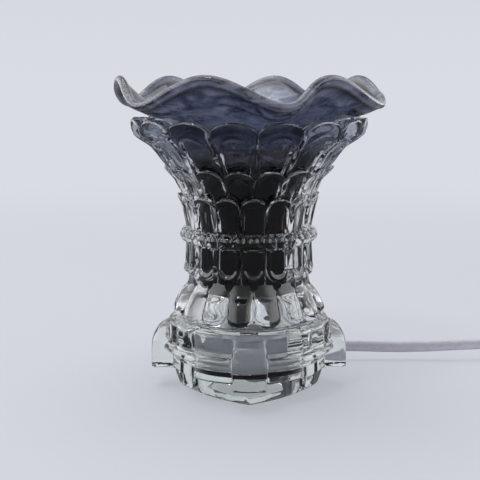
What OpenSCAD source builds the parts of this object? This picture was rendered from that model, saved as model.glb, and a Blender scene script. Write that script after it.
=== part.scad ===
// Electric fragrance lamp: a ruffled smoked glass sleeve stands in a pressed glass vase on a pressed glass
// base. The base holds a lamp holder with a small screw bulb, and a flat twin cord leads through an in-line
// dimmer to a two-blade plug. Millimetres, +Z up, origin under the middle of the base, front towards -Y.

/* [Glass base] */
// Height of the top face that carries the vase
base_top_z = 32.5; // [30:0.5:36]
// Radius out to the ends of the four corner lugs
lug_r = 44.2; // [42:0.2:48]
// Width of a lug
lug_w = 17; // [12:0.5:20]
// Height of the lugs' rounded tops, where they meet the fluted tier
lug_top_z = 30.2; // [28:0.2:31]
// Height of the flange's top between the lugs
flange_top_z = 22.3; // [20:0.1:24]
// Height of the lugs' lower lip above the floor
lug_lip_z = 9.8; // [8:0.1:12]
// Radius of the flange's top edge between the lugs
flange_r = 38.4; // [37:0.1:40]
// Radius of the flange's waist under its top edge
flange_waist_r = 34.8; // [33:0.1:36]
// Radius of the fluted upper tier
tier_r = 36.2; // [34.5:0.1:37]
// Radius of the foot at its four rounded corners
foot_corner_r = 34; // [32:0.1:35]
// Radius of the foot at the middle of its four bowed sides
foot_side_r = 27.4; // [27:0.1:30]
// Radius of the hollow under the seat of the cover plate
cavity_r = 24.2; // [24.2:0.1:25]
// Radius of the hole in the top wall that the socket passes
top_hole_r = 14; // [12:0.5:18]
// Thickness of the glass over the hollow
top_wall = 3.9; // [3:0.1:5]
// Width of the notch in the wall that lets the cord out
notch_w = 8.4; // [8:0.1:10]
// Thickness of the clear pads under the foot
pad_t = 0.5; // [0.4:0.1:1.5]

/* [Pressed vase] */
// Height of the vase from its foot to the tops of the petals
vase_h = 89.4; // [86:0.2:94]
// Number of petals in a row
petal_count = 16; // [12:2:20]
// How far a petal stands out from the grooves beside it
petal_relief = 1.5; // [0.8:0.1:1.8]
// Radius of the grooves at the lip
lip_r = 51.6; // [50:0.2:54]
// Radius of the grooves at the waist
waist_r = 26.6; // [26.4:0.1:28]
// Radius of the grooves at the foot
vase_foot_r = 33.2; // [32:0.1:34]
// Thickness of the glass at the waist
vase_wall = 2.8; // [2.2:0.1:3]
// Thickness of the glass at the lip
lip_wall = 4; // [3:0.1:5]
// Height that each arched petal top rises over the groove beside it
arch_h = 4.4; // [3:0.1:6]
// How far the ring of beads stands out
bead_relief = 3; // [2:0.1:3.5]

/* [Ruffled sleeve] */
// Height of the ruffled rim's middle line above the vase's petals
rim_rise = 11.1; // [10.8:0.1:14]
// Radius of the rim
rim_r = 59.4; // [56:0.2:62]
// Number of waves round the rim
lobe_count = 6; // [4:1:8]
// Rise and fall of the rim about its middle line
ruffle_a = 5.6; // [3:0.1:7]
// Radius of the sleeve's open lower end
sleeve_r = 22.3; // [21.5:0.1:22.6]
// Height of the sleeve's lower end above the base's top
sleeve_lift = 11.2; // [10:0.1:13]
// Thickness of the smoked glass
sleeve_wall = 2.4; // [1.8:0.1:2.8]

/* [Oil dish] */
// Radius of the dish's rim
dish_r = 27.4; // [26:0.1:28]
// Depth of the dish outside
dish_h = 13; // [10:0.5:15]
// Thickness of the dish
dish_wall = 1.8; // [1.4:0.1:2.4]

/* [Lamp holder] */
// Radius of the grey holder's skirt
holder_r = 22.6; // [20:0.1:22.8]
// Radius of the grey holder's upper part
holder_top_r = 20; // [18:0.1:21]
// Thickness of the holder's wall
holder_wall = 1.4; // [1:0.1:2]
// Thickness of the black cover plate
plate_t = 1.8; // [1.2:0.1:2]
// Height of the cover plate's lower face
plate_z = 11.8; // [11.5:0.1:13]
// Outer radius of the socket
socket_r = 10; // [9:0.1:10.4]
// Height of the socket from its foot to its mouth
socket_l = 27; // [26:0.5:28]
// Radius of the hollow threaded rod that clamps the parts
rod_r = 4.9; // [4.5:0.1:5.2]

/* [Bulb] */
// Radius of the screw cap, over its thread
cap_r = 5.95; // [5.5:0.05:6]
// Largest radius of the glass envelope
bulb_r = 11.3; // [9:0.1:12]
// Height of the envelope above its cap
bulb_h = 39; // [34:0.5:42]

/* [Cord] */
// Width of the flat twin cord
cord_w = 5.4; // [5:0.1:5.6]
// Thickness of the flat twin cord
cord_t = 2.8; // [2.6:0.1:3]
// Radius of the coil's outer turn, to the middle of the cord
coil_r = 36; // [34:0.5:40]
// Full turns of the coil in each of its two layers
coil_turns = 4; // [3:1:4]
// Step from one turn of the coil to the next one beside it
coil_step = 3.5; // [3.4:0.1:3.8]

/* [In-line dimmer] */
// Length of the dimmer's housing
dimmer_l = 56; // [50:1:64]
// Width of the dimmer's housing
dimmer_w = 24; // [22:0.5:28]
// Height of the dimmer's housing
dimmer_h = 17; // [16:0.5:18]
// Radius of the thumbwheel
wheel_r = 10; // [9.5:0.1:10.5]

/* [Plug] */
// Length of the plug's body
plug_l = 30; // [26:1:34]
// Width of the plug's body
plug_w = 24; // [22:0.5:28]
// Thickness of the plug's body
plug_t = 14; // [13:0.5:16]

/* [Hidden] */
$fn = 96;

// One overrun for every cut, and the gaps that pieces of one assembly keep
overrun = 1;
seat_gap = 0.3;
run_gap = 0.1;

// Glass base
foot_bow_r = 70;
foot_slant = 1.6;
foot_top_z = 10.5;
flange_step_z = 18.4;
flange_edge_h = 1.4;
lug_bow_h = 12.2;
lug_bow_step = 10;
lug_lip_w = 5;
lug_arch_h = 1.6;
lug_rib_w = 3.2;
lug_pocket_d = 1.1;
lug_pocket_h = 9;
lug_count = 4;
lug_root_r = 30;
bevel = 1;
tier_groove_r = 1.5;
tier_pit_r = 2.6;
tier_pit_d = 0.9;
plate_rim = 1;
upper_cavity_r = cavity_r - plate_rim;
ring_r = 28.2;
ring_w = 2.6;
ring_h = 2.8;
notch_angle = 45;
notch_top_z = 10.2;
pad_r = 2.4;
pad_inset = 0.5;
pad_place_r = cavity_r + pad_r + pad_inset;

// Pressed vase: heights as shares of the vase's height, radii in named sizes
vase_bottom_z = base_top_z;
vase_columns = petal_count * 6;
foot_drop_h = 4;
foot_top_share = 0.2;
row4_low_share = 0.235;
row4_high_share = 0.375;
bead_share = 0.425;
row3_low_share = 0.475;
row3_high_share = 0.655;
row2_high_share = 0.79;
bead_h = 3.1;
petal_phase = -7.5;
flute_phase = 3.75;
// Shares of the vase's height against shares of the way from the waist's to the lip's radius
flare_shares = [[0, 0], [0.2, 0], [0.235, 0.012], [0.375, 0.02], [0.475, 0.03], [0.58, 0.07], [0.655, 0.13],
    [0.72, 0.22], [0.79, 0.39], [0.86, 0.57], [0.92, 0.76], [0.97, 0.92], [1, 1]];
// Shares of the vase's height against shares of the way from the waist's to the foot's radius
foot_shares = [[0, 1], [0.02, 0.97], [0.06, 0.86], [0.1, 0.6], [0.149, 0.27], [0.18, 0.06], [0.2, 0], [1, 0]];
// Shares of the vase's height against shares of the way from the waist's to the lip's wall
wall_shares = [[0, 0.6], [0.2, 0], [0.6, 0], [0.75, 0.3], [0.9, 0.8], [1, 1]];
inner_shares = [0.98, 0.93, 0.86, 0.78, 0.7, 0.6, 0.5, 0.36, 0.2, 0.14, 0.08, 0.04, 0];

// Ruffled sleeve
sleeve_columns = lobe_count * 12;
ruffle_phase = -20.4;
sleeve_z = base_top_z + sleeve_lift;
rim_z = base_top_z + vase_h + rim_rise;
sleeve_h = rim_z - sleeve_z;
// Shares of the sleeve's height, of the way from its lower end's to its rim's radius, and of the full wave
sleeve_shares = [[0, 0, 0], [0.07, 0.006, 0], [0.2, 0.02, 0], [0.36, 0.035, 0], [0.47, 0.062, 0],
    [0.56, 0.115, 0], [0.65, 0.2, 0], [0.73, 0.25, 0], [0.79, 0.3, 0.02], [0.83, 0.35, 0.08],
    [0.868, 0.45, 0.2], [0.9, 0.6, 0.38], [0.922, 0.73, 0.56], [0.96, 0.88, 0.8], [1, 1, 1]];

// Oil dish
dish_foot_r = 11;
dish_lip = 1.4;
dish_side_share = 0.32;
// The dish's rim rests where the sleeve's inside is as wide as the rim
function sleeve_z_at(r) =
    sleeve_z + sleeve_h * along((r - sleeve_r) / (rim_r - sleeve_r), [for (s = sleeve_shares) [s[1], s[0]]]);
dish_z = sleeve_z_at(dish_r + sleeve_wall + seat_gap) - dish_h + dish_lip / 2;

// Lamp holder, rod and socket
holder_step_z = 19.8;
holder_top_z = base_top_z - top_wall - run_gap;
rod_bore_r = 3.2;
rod_bottom_z = 8.6;
nut_r = 8;
nut_h = 2.8;
socket_wall = 2.6;
socket_floor = 3;
chamber_h = 5.5;
disc_h = 1.6;
shell_wall = 0.4;
shell_gap = 0.35;
shell_lip = 0.9;
contact_r = 2.2;
contact_h = 1;
screw_r = 1.5;
screw_head_r = 2;
screw_head_h = 1.1;
// The terminals' heads lie close under the holder's top
socket_z = holder_top_z - holder_wall - seat_gap - screw_head_r - chamber_h / 2 - socket_floor;
socket_top_z = socket_z + socket_l;
lead_r = 1.3;
lead_gap = 0.3;
lead_bend_r = 3.6;
vent_r = 2.2;
vent_count = 6;

// Bulb
cap_bottom_z = socket_z + socket_floor + chamber_h + disc_h + contact_h + run_gap;
thread_pitch = 2.54;
thread_d = 0.45;
cap_wall = 0.5;
tip_r = 2;
tip_h = 0.9;
insulator_r = 4.2;
insulator_h = 1.8;
bulb_wall = 0.8;
cap_top_z = socket_top_z + shell_lip;
bulb_neck_r = cap_r - thread_d - cap_wall - run_gap;
bulb_neck_h = 3;
bulb_neck_z = cap_top_z - bulb_neck_h;
stem_r = 2.3;
stem_foot_h = 0.8;
stem_h = 15;
support_r = 0.25;
filament_r = 0.5;
filament_span = 7;
support_h = 11;

// Cord: its centre line is laid on edge, the wide side upright
cord_exit_z = rod_bottom_z - lead_bend_r;
relief_inner_r = 17.5;
relief_l = 21;
relief_w = 7.6;
relief_tip_w = 6.2;
relief_flange_w = 10;
relief_flange_t = 1.6;
relief_seat_r = sqrt(cavity_r * cavity_r - relief_flange_w * relief_flange_w / 4) - run_gap;
relief_tip_r = relief_inner_r + relief_l;
straight_l = 3;
dimmer_near_x = 125;
dimmer_y = 38;
dimmer_z = dimmer_h / 2;
dimmer_relief_l = 7;
dimmer_x = dimmer_near_x + dimmer_relief_l + dimmer_l / 2;
dimmer_far_x = dimmer_x + dimmer_l / 2 + dimmer_relief_l;
cord_sides = 8;
coil_sides = 6;
coil_rings = 24;
coil_lead = 1;
coil_start_angle = 90;
floor_gap = 0.2;
layer_gap = 0.6;
coil_low_z = cord_w / 2 + floor_gap;
coil_rise = cord_w + layer_gap;
coil_reach = 47;
coil_x = dimmer_far_x + coil_reach;
coil_y = dimmer_y - coil_r;
plug_z = plug_t / 2;
plug_y = coil_y - coil_r;
plug_reach = 27;
plug_relief_l = 20;
plug_x = coil_x - plug_reach - plug_relief_l - plug_l / 2 + bevel;
// Route from the relief's tip round to the dimmer
lamp_side_route = [[32, 31.9, 5.4], [35, 34.3, 5.9], [39, 36.6, 6.5], [44, 38.2, 6.9], [50, 38.9, 7],
    [57, 39, 6.9], [64, 38.9, 6.7], [72, 38.7, 6.6], [80, 38.5, 6.7], [88, 38.3, 6.9], [96, 38.2, 7.3],
    [104, 38.1, 7.7], [112, 38, 8.1], [118, 38, 8.4]];
// Steps along X, each with the share of the way down to the floor, or from the coil's top to the plug
to_coil_steps = [[0, 0], [3, 0], [7, 0.05], [12, 0.2], [18, 0.41], [24, 0.63], [30, 0.82], [35, 0.95],
    [40, 1], [44, 1], [47, 1]];
to_plug_steps = [[0, 0], [3, 0], [7, 0.05], [12, 0.26], [17, 0.58], [21, 0.84], [24, 1], [27, 1]];
coil_dip = 2.2;
dip_start = 0.1;
dip_turns = 0.8;

// In-line dimmer's details
dimmer_wall = 1.8;
dimmer_corner_r = 7;
dimmer_edge = 1.6;
wheel_t = 4.6;
wheel_out = 1.8;
wheel_teeth = 36;
wheel_tooth_r = 0.5;
wheel_bore_r = 1.6;
pin_r = 1.52;
wheel_gap = 0.4;
dimmer_screw_x = 21;
boss_r = 3.2;
board_l = 34;
board_w = 9;
board_t = 1.4;
part_r = 2.6;
part_h = 3;
dimmer_relief_w = 7.2;

// Plug's details
plug_edge = 3;
blade_w = 6.35;
blade_t = 1.5;
blade_l = 17;
blade_pitch = 12.7;
blade_hole_r = 1.6;
blade_hole_x = 4.4;
grip_count = 4;
grip_step = 3.2;
grip_r = 0.8;

// Value at x of a table of pairs, straight between its points
function along(x, t, i = 0) =
    x <= t[0][0] ? t[0][1] :
    i >= len(t) - 1 ? t[len(t) - 1][1] :
    x > t[i + 1][0] ? along(x, t, i + 1) :
    t[i][1] + (t[i + 1][1] - t[i][1]) * (x - t[i][0]) / (t[i + 1][0] - t[i][0]);

// Distance of an angle from the nearest petal's middle line, 0 on it and 1 in the groove
function groove(a, count, phase) =
    let (p = 360 / count, w = (a - phase) / p)
    abs(w - round(w)) * 2;

function arch(g) = 1 - sqrt(max(0, 1 - g * g));
function bulge(g) = 1 - g * g;

// Faces of a wall whose rings of points close on themselves both ways
function wall_faces(n, m) = [for (i = [0:n - 1], j = [0:m - 1])
    let (k = (i + 1) % n, l = (j + 1) % m)
    each [[i * m + j, k * m + l, i * m + l], [i * m + j, k * m + j, k * m + l]]];

// Faces of a tube of n rings of m points, with a flat cap on each end
function tube_faces(n, m) = [
    for (i = [0:n - 2], j = [0:m - 1])
        let (l = (j + 1) % m)
        each [[i * m + j, i * m + l, (i + 1) * m + l], [i * m + j, (i + 1) * m + l, (i + 1) * m + j]],
    for (j = [1:m - 2]) each [[0, j + 1, j], [(n - 1) * m, (n - 1) * m + j, (n - 1) * m + j + 1]]];

function unit(v) = v / norm(v);
function last(v) = len(v) - 1;

// Direction of a route at point i, along the way from its last neighbour to its next one
function heading(p, i) = unit(p[min(i + 1, last(p))] - p[max(i - 1, 0)]);

// Ring of an oval section that stands on edge across the route
function cord_ring(p, i, sides) =
    let (t = heading(p, i), s = unit(cross(t, [0, 0, 1])), u = cross(s, t))
    [for (k = [0:sides - 1])
        p[i] + s * cos(360 * k / sides) * cord_t / 2 + u * sin(360 * k / sides) * cord_w / 2];

module cord_tube(points, sides) {
    polyhedron(
        points = [for (i = [0:last(points)]) each cord_ring(points, i, sides)],
        faces = tube_faces(len(points), sides));
}

// Glass base

module foot_plan(z0, z1, slant) {
    h = z1 - z0;
    intersection() {
        translate([0, 0, z0])
            cylinder(r1 = foot_corner_r - slant, r2 = foot_corner_r + slant / 2, h = h);
        intersection_for(i = [0:lug_count - 1])
            rotate([0, 0, 45 + i * 90])
                translate([foot_side_r - foot_bow_r, 0, z0])
                    cylinder(r1 = foot_bow_r - slant, r2 = foot_bow_r + slant, h = h);
    }
}

module flange_solid() {
    rotate_extrude()
        polygon([[0, foot_top_z - bevel], [flange_waist_r - bevel, foot_top_z - bevel],
            [flange_waist_r, foot_top_z], [flange_waist_r, flange_step_z - bevel],
            [flange_r, flange_step_z + bevel], [flange_r, flange_top_z - flange_edge_h],
            [flange_r - flange_edge_h, flange_top_z], [tier_r + bevel, flange_top_z],
            [tier_r, flange_top_z + bevel], [tier_r, base_top_z - bevel], [tier_r - bevel, base_top_z],
            [0, base_top_z]]);
}

// A lug's outline falls from the tier in a quarter of an ellipse and then straight down
module lug_ring() {
    rotate_extrude()
        polygon([[lug_root_r, lug_top_z],
            for (a = [90:-lug_bow_step:0])
                [tier_r + (lug_r - tier_r) * cos(a), lug_top_z - lug_bow_h * (1 - sin(a))],
            [lug_r, lug_lip_z + bevel / 2], [lug_r - bevel / 2, lug_lip_z], [lug_r - lug_lip_w, lug_lip_z],
            [lug_r - lug_lip_w - bevel, lug_lip_z + lug_arch_h], [lug_root_r, lug_lip_z + lug_arch_h]]);
}

module lug_bar(w) {
    translate([lug_root_r, -w / 2, 0])
        cube([lug_r - lug_root_r + overrun, w, lug_top_z + overrun]);
}

module lugs() {
    for (i = [0:lug_count - 1])
        rotate([0, 0, i * 360 / lug_count])
            difference() {
                intersection() {
                    lug_ring();
                    lug_bar(lug_w);
                }
                for (s = [-1, 1])
                    translate([flange_waist_r, s * lug_w / 2 - lug_pocket_d,
                        lug_lip_z + lug_arch_h + bevel])
                        cube([lug_r - lug_rib_w - flange_waist_r, lug_pocket_d * 2, lug_pocket_h]);
            }
}

module tier_cuts() {
    for (i = [0:petal_count - 1])
        rotate([0, 0, petal_phase + (i + 0.5) * 360 / petal_count])
            translate([tier_r + tier_groove_r / 2, 0, flange_top_z + bevel])
                cylinder(r = tier_groove_r, h = base_top_z - flange_top_z, $fn = 24);
    for (i = [0:petal_count - 1])
        rotate([0, 0, petal_phase + i * 360 / petal_count])
            translate([tier_r + tier_pit_r - tier_pit_d, 0, (flange_top_z + base_top_z) / 2])
                sphere(r = tier_pit_r, $fn = 32);
}

module cavity() {
    translate([0, 0, -overrun])
        cylinder(r = cavity_r, h = plate_z + plate_t + overrun);
    translate([0, 0, plate_z])
        cylinder(r = upper_cavity_r, h = base_top_z - top_wall - plate_z);
    translate([0, 0, plate_z])
        cylinder(r = top_hole_r, h = base_top_z);
}

module cord_notch() {
    rotate([0, 0, notch_angle]) {
        translate([0, -notch_w / 2, -overrun])
            cube([lug_r, notch_w, notch_top_z - notch_w / 2 + overrun]);
        translate([0, 0, notch_top_z - notch_w / 2])
            rotate([0, 90, 0])
                cylinder(d = notch_w, h = lug_r);
    }
}

module glass_base() {
    color("lightcyan", 0.5)
        difference() {
            union() {
                foot_plan(pad_t, foot_top_z, foot_slant);
                difference() {
                    flange_solid();
                    tier_cuts();
                }
                lugs();
                translate([0, 0, base_top_z - overrun])
                    cylinder(r = ring_r, h = ring_h + overrun);
            }
            translate([0, 0, base_top_z])
                cylinder(r = ring_r - ring_w, h = ring_h + overrun);
            cavity();
            cord_notch();
        }
}

module foot_pads() {
    color("whitesmoke")
        for (i = [0:lug_count - 1])
            rotate([0, 0, i * 360 / lug_count])
                translate([pad_place_r, 0, 0])
                    cylinder(r = pad_r, h = pad_t, $fn = 48);
}

// Lamp holder

module cover_plate() {
    color("black")
        difference() {
            translate([0, 0, plate_z])
                union() {
                    cylinder(r = upper_cavity_r - run_gap, h = plate_t);
                    cylinder(r = cavity_r - run_gap, h = plate_t / 2);
                }
            translate([0, 0, plate_z - overrun])
                cylinder(r = rod_r + run_gap, h = plate_t + 2 * overrun, $fn = 48);
            for (i = [0:vent_count - 1])
                rotate([0, 0, (i + 0.5) * 360 / vent_count])
                    translate([(nut_r + holder_top_r) / 2, 0, plate_z - overrun])
                        cylinder(r = vent_r, h = plate_t + 2 * overrun, $fn = 32);
        }
}

module holder_cup() {
    plate_top = plate_z + plate_t;
    color("slategray")
        rotate_extrude()
            polygon([[holder_r - holder_wall, plate_top], [holder_r, plate_top],
                [holder_r, holder_step_z - bevel], [holder_r - bevel, holder_step_z],
                [holder_top_r, holder_step_z], [holder_top_r, holder_top_z - bevel],
                [holder_top_r - bevel, holder_top_z], [socket_r + seat_gap, holder_top_z],
                [socket_r + seat_gap, holder_top_z - holder_wall],
                [holder_top_r - holder_wall, holder_top_z - holder_wall],
                [holder_top_r - holder_wall, holder_step_z - holder_wall],
                [holder_r - holder_wall, holder_step_z - holder_wall]]);
}

module threaded_rod() {
    color("goldenrod")
        translate([0, 0, rod_bottom_z])
            difference() {
                cylinder(r = rod_r, h = socket_z + socket_floor - rod_bottom_z, $fn = 48);
                translate([0, 0, -overrun])
                    cylinder(r = rod_bore_r, h = socket_z + 2 * overrun, $fn = 48);
            }
}

module rod_nut(z) {
    translate([0, 0, z])
        difference() {
            cylinder(r = nut_r, h = nut_h, $fn = 6);
            translate([0, 0, -overrun])
                cylinder(r = rod_r + run_gap / 2, h = nut_h + 2 * overrun, $fn = 48);
        }
}

module rod_nuts() {
    color("silver") {
        rod_nut(plate_z - nut_h);
        rod_nut(plate_z + plate_t);
    }
}

module socket_body() {
    chamber_z = socket_z + socket_floor;
    disc_z = chamber_z + chamber_h;
    bore = socket_r - socket_wall;
    color("dimgray")
        difference() {
            rotate_extrude()
                polygon([[rod_r + run_gap / 2, socket_z], [socket_r - bevel, socket_z],
                    [socket_r, socket_z + bevel], [socket_r, socket_top_z - bevel / 2],
                    [socket_r - bevel / 2, socket_top_z], [bore, socket_top_z], [bore, disc_z + disc_h],
                    [contact_r / 2, disc_z + disc_h], [contact_r / 2, disc_z], [bore, disc_z],
                    [bore, chamber_z], [rod_r + run_gap / 2, chamber_z]]);
            for (s = [0, 180])
                rotate([0, 0, s])
                    translate([bore - overrun, 0, chamber_z + chamber_h / 2])
                        rotate([0, 90, 0])
                            cylinder(r = screw_r, h = socket_wall + 2 * overrun, $fn = 24);
        }
}

// Outline of a rounded screw thread, from z0 up, as steps of half a pitch
function thread_outline(r, z0, turns, d) = [for (i = [0:2 * turns])
    [r - (i % 2 == 0 ? d : 0), z0 + i * thread_pitch / 2]];

module socket_shell() {
    z0 = socket_z + socket_floor + chamber_h + disc_h;
    outer = socket_r - socket_wall - run_gap;
    inner = cap_r + shell_gap;
    top = socket_top_z - shell_lip;
    color("goldenrod")
        rotate_extrude()
            polygon([[contact_r + shell_lip, z0], [outer, z0], [outer, top], [inner, top],
                [inner, z0 + shell_wall], [contact_r + shell_lip, z0 + shell_wall]]);
}

module socket_contact() {
    z0 = socket_z + socket_floor + chamber_h;
    color("goldenrod") {
        translate([0, 0, z0 + disc_h])
            cylinder(r = contact_r, h = contact_h, $fn = 32);
        translate([0, 0, z0 - contact_h])
            cylinder(r = contact_r / 2 - run_gap, h = disc_h + contact_h, $fn = 32);
    }
}

module terminal_screws() {
    color("silver")
        for (s = [0, 180])
            rotate([0, 0, s])
                translate([socket_r, 0, socket_z + socket_floor + chamber_h / 2])
                    rotate([0, 90, 0]) {
                        cylinder(r = screw_head_r, h = screw_head_h, $fn = 32);
                        translate([0, 0, -socket_wall - lead_r])
                            cylinder(r = screw_r - run_gap, h = socket_wall + lead_r, $fn = 32);
                    }
}

// Each lead runs in from the cord, turns up into the hollow rod and ends at its terminal's height
module inner_leads() {
    side = lead_r + lead_gap / 2;
    up = socket_z + socket_floor + chamber_h / 2 - screw_r - rod_bottom_z;
    color("whitesmoke")
        rotate([0, 0, notch_angle])
            for (s = [-1, 1])
                translate([0, s * side, 0]) {
                    translate([lead_bend_r, 0, cord_exit_z])
                        rotate([0, 90, 0])
                            cylinder(r = lead_r, h = relief_inner_r - lead_bend_r, $fn = 24);
                    translate([lead_bend_r, 0, rod_bottom_z])
                        rotate([90, 0, 0])
                            rotate([0, 0, 180])
                                rotate_extrude(angle = 90)
                                    translate([lead_bend_r, 0])
                                        circle(r = lead_r, $fn = 24);
                    translate([0, 0, rod_bottom_z])
                        cylinder(r = lead_r, h = up, $fn = 24);
                }
}

// Tapered strain relief: its neck fills the notch and its tail follows the cord
module cord_relief() {
    color("whitesmoke")
        rotate([0, 0, notch_angle])
            translate([relief_inner_r, 0, cord_exit_z])
                rotate([0, 90, 0]) {
                    cylinder(d = relief_w, h = relief_flange_t + foot_side_r - relief_inner_r, $fn = 48);
                    cylinder(d1 = relief_w, d2 = relief_tip_w, h = relief_l, $fn = 48);
                    translate([0, 0, relief_seat_r - relief_inner_r - relief_flange_t])
                        cylinder(d = relief_flange_w - run_gap, h = relief_flange_t, $fn = 48);
                }
}

// Pressed vase

function vase_z(s) = vase_bottom_z + s * vase_h;
function vase_r(s) =
    waist_r + (lip_r - waist_r) * along(s, flare_shares) + (vase_foot_r - waist_r) * along(s, foot_shares);
function vase_w(s) = vase_wall + (lip_wall - vase_wall) * along(s, wall_shares);

// A ring of the vase's outside: share of height, rise and fall of its line, its sign, relief and phase
function vase_ring(s, drop, drop_phase, relief, phase, count = petal_count) =
    [for (j = [0:vase_columns - 1])
        let (
            a = j * 360 / vase_columns + petal_phase,
            z = vase_z(s) - drop * arch(groove(a, petal_count, drop_phase)),
            r = vase_r((z - vase_bottom_z) / vase_h) + relief * bulge(groove(a, count, phase)))
        [r * cos(a), r * sin(a), z]];

function vase_inner_ring(s, drop) =
    [for (j = [0:vase_columns - 1])
        let (
            a = j * 360 / vase_columns + petal_phase,
            z = vase_z(s) - drop * arch(groove(a, petal_count, petal_phase)),
            q = (z - vase_bottom_z) / vase_h,
            r = vase_r(q) - vase_w(q))
        [r * cos(a), r * sin(a), z]];

// A row of petals from a lower line to an upper one, as rings at shares of the way up
function petal_row(low, high, low_drop, low_phase, high_drop, phase, reliefs) =
    [for (i = [0:last(reliefs)])
        let (
            v = i / last(reliefs),
            s = low + (high - low) * v)
        [for (j = [0:vase_columns - 1])
            let (
                a = j * 360 / vase_columns + petal_phase,
                z = vase_z(s) - (1 - v) * low_drop * arch(groove(a, petal_count, low_phase))
                    - v * high_drop * arch(groove(a, petal_count, phase)),
                r = vase_r((z - vase_bottom_z) / vase_h)
                    + petal_relief * reliefs[i] * bulge(groove(a, petal_count, phase)))
            [r * cos(a), r * sin(a), z]]];

foot_relief_shares = [0.8, 1, 1.1, 1, 0.3];
row4_relief_shares = [0.9, 1.05, 0.9, 0.6];
row3_relief_shares = [0.3, 0.8, 1, 1];
row2_relief_shares = [0.2, 0.6, 0.9, 1.1];
row1_relief_shares = [0.1, 0.4, 0.7, 0.9, 1];

vase_outside = concat(
    [vase_ring(0, 0, 0, 0, petal_phase)],
    petal_row(0.012, foot_top_share, -foot_drop_h, petal_phase, 0, petal_phase, foot_relief_shares),
    petal_row(row4_low_share, row4_high_share, -arch_h, flute_phase, 0, flute_phase, row4_relief_shares),
    [for (i = [-2:2])
        vase_ring(bead_share + i * bead_h / 2 / vase_h, 0, 0, bead_relief * cos(i * 44), petal_phase,
            petal_count * 2)],
    petal_row(row3_low_share, row3_high_share, 0, flute_phase, arch_h, flute_phase, row3_relief_shares),
    petal_row(row3_high_share + 0.004, row2_high_share, arch_h, flute_phase, arch_h, petal_phase,
        row2_relief_shares),
    petal_row(row2_high_share + 0.004, 1, arch_h, petal_phase, arch_h, petal_phase, row1_relief_shares));

vase_inside = concat(
    [vase_inner_ring(1, arch_h)],
    [for (s = inner_shares) vase_inner_ring(s, 0)]);

module pressed_vase() {
    rings = concat(vase_outside, vase_inside);
    color("white", 0.4)
        polyhedron(points = [for (r = rings) each r], faces = wall_faces(len(rings), vase_columns));
}

// Ruffled sleeve

function sleeve_point(i) =
    let (s = sleeve_shares[i])
    [sleeve_r + (rim_r - sleeve_r) * s[1], sleeve_z + sleeve_h * s[0]];

// Outward normal of the sleeve's profile at point i
function sleeve_normal(i) =
    let (
        a = sleeve_point(max(i - 1, 0)),
        b = sleeve_point(min(i + 1, last(sleeve_shares))),
        t = unit(b - a))
    [t[1], -t[0]];

// Ring of the sleeve at profile point i, moved in by a share of the wall
function sleeve_ring(i, inset) =
    let (p = sleeve_point(i) - sleeve_normal(i) * inset, w = sleeve_shares[i][2])
    [for (j = [0:sleeve_columns - 1])
        let (a = j * 360 / sleeve_columns, f = cos(lobe_count * (a + 90 - ruffle_phase)))
        [(p[0] + w * f) * cos(a), (p[0] + w * f) * sin(a), p[1] + ruffle_a * w * f]];

module ruffled_sleeve() {
    n = last(sleeve_shares);
    rings = concat(
        [for (i = [0:n]) sleeve_ring(i, 0)],
        [for (i = [n:-1:0]) sleeve_ring(i, sleeve_wall)]);
    color("darkslategray")
        polyhedron(points = [for (r = rings) each r], faces = wall_faces(len(rings), sleeve_columns));
}

module oil_dish() {
    color("aliceblue", 0.6)
        translate([0, 0, dish_z])
            rotate_extrude()
                polygon([[0, 0], [dish_foot_r, 0], [dish_foot_r + dish_h / 2, dish_h * dish_side_share],
                    [dish_r - dish_lip, dish_h - dish_lip], [dish_r, dish_h - dish_lip / 2],
                    [dish_r, dish_h], [dish_r - dish_lip, dish_h],
                    [dish_r - dish_lip - dish_wall, dish_h - dish_lip],
                    [dish_foot_r + dish_h / 2 - dish_wall / 2, dish_h * dish_side_share + dish_wall],
                    [dish_foot_r - dish_wall / 2, dish_wall], [0, dish_wall]]);
}

// Bulb

module bulb_cap() {
    turns = floor((socket_top_z - cap_bottom_z - insulator_h) / thread_pitch);
    z0 = cap_bottom_z + insulator_h;
    top = cap_top_z;
    color("silver")
        rotate_extrude()
            polygon(concat(
                [[insulator_r - cap_wall, z0]],
                thread_outline(cap_r, z0, turns, thread_d),
                [[cap_r - thread_d, top], [cap_r - thread_d - cap_wall, top],
                    [cap_r - thread_d - cap_wall, z0 + cap_wall], [insulator_r - cap_wall, z0 + cap_wall]]));
}

module bulb_tip() {
    color("dimgray") {
        translate([0, 0, cap_bottom_z + tip_h])
            cylinder(r1 = tip_r, r2 = insulator_r - cap_wall, h = insulator_h - tip_h, $fn = 48);
        translate([0, 0, cap_bottom_z])
            cylinder(r1 = tip_r / 2, r2 = tip_r, h = tip_h, $fn = 48);
    }
}

// Outline of the candle-shaped envelope from its neck, in the cap, to its crown
waist_share = 0.42;
outline_steps = 12;
function bulb_outline(d) =
    let (z0 = cap_top_z + bevel / 2, h = bulb_h - bevel / 2 - d, w = bulb_r - d, n = bulb_neck_r - d)
    concat(
        [[n, bulb_neck_z]],
        [for (i = [0:outline_steps])
            let (v = i / outline_steps)
            [n + (w - n) * (1 - cos(180 * v)) / 2, z0 + h * waist_share * v]],
        [for (i = [1:outline_steps])
            let (a = 90 * i / outline_steps)
            [w * cos(a), z0 + h * waist_share + h * (1 - waist_share) * sin(a)]]);

module bulb_envelope() {
    color("ivory", 0.6)
        rotate_extrude()
            polygon(concat(
                bulb_outline(0),
                [for (i = [last(bulb_outline(0)):-1:0]) bulb_outline(bulb_wall)[i]]));
}

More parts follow.
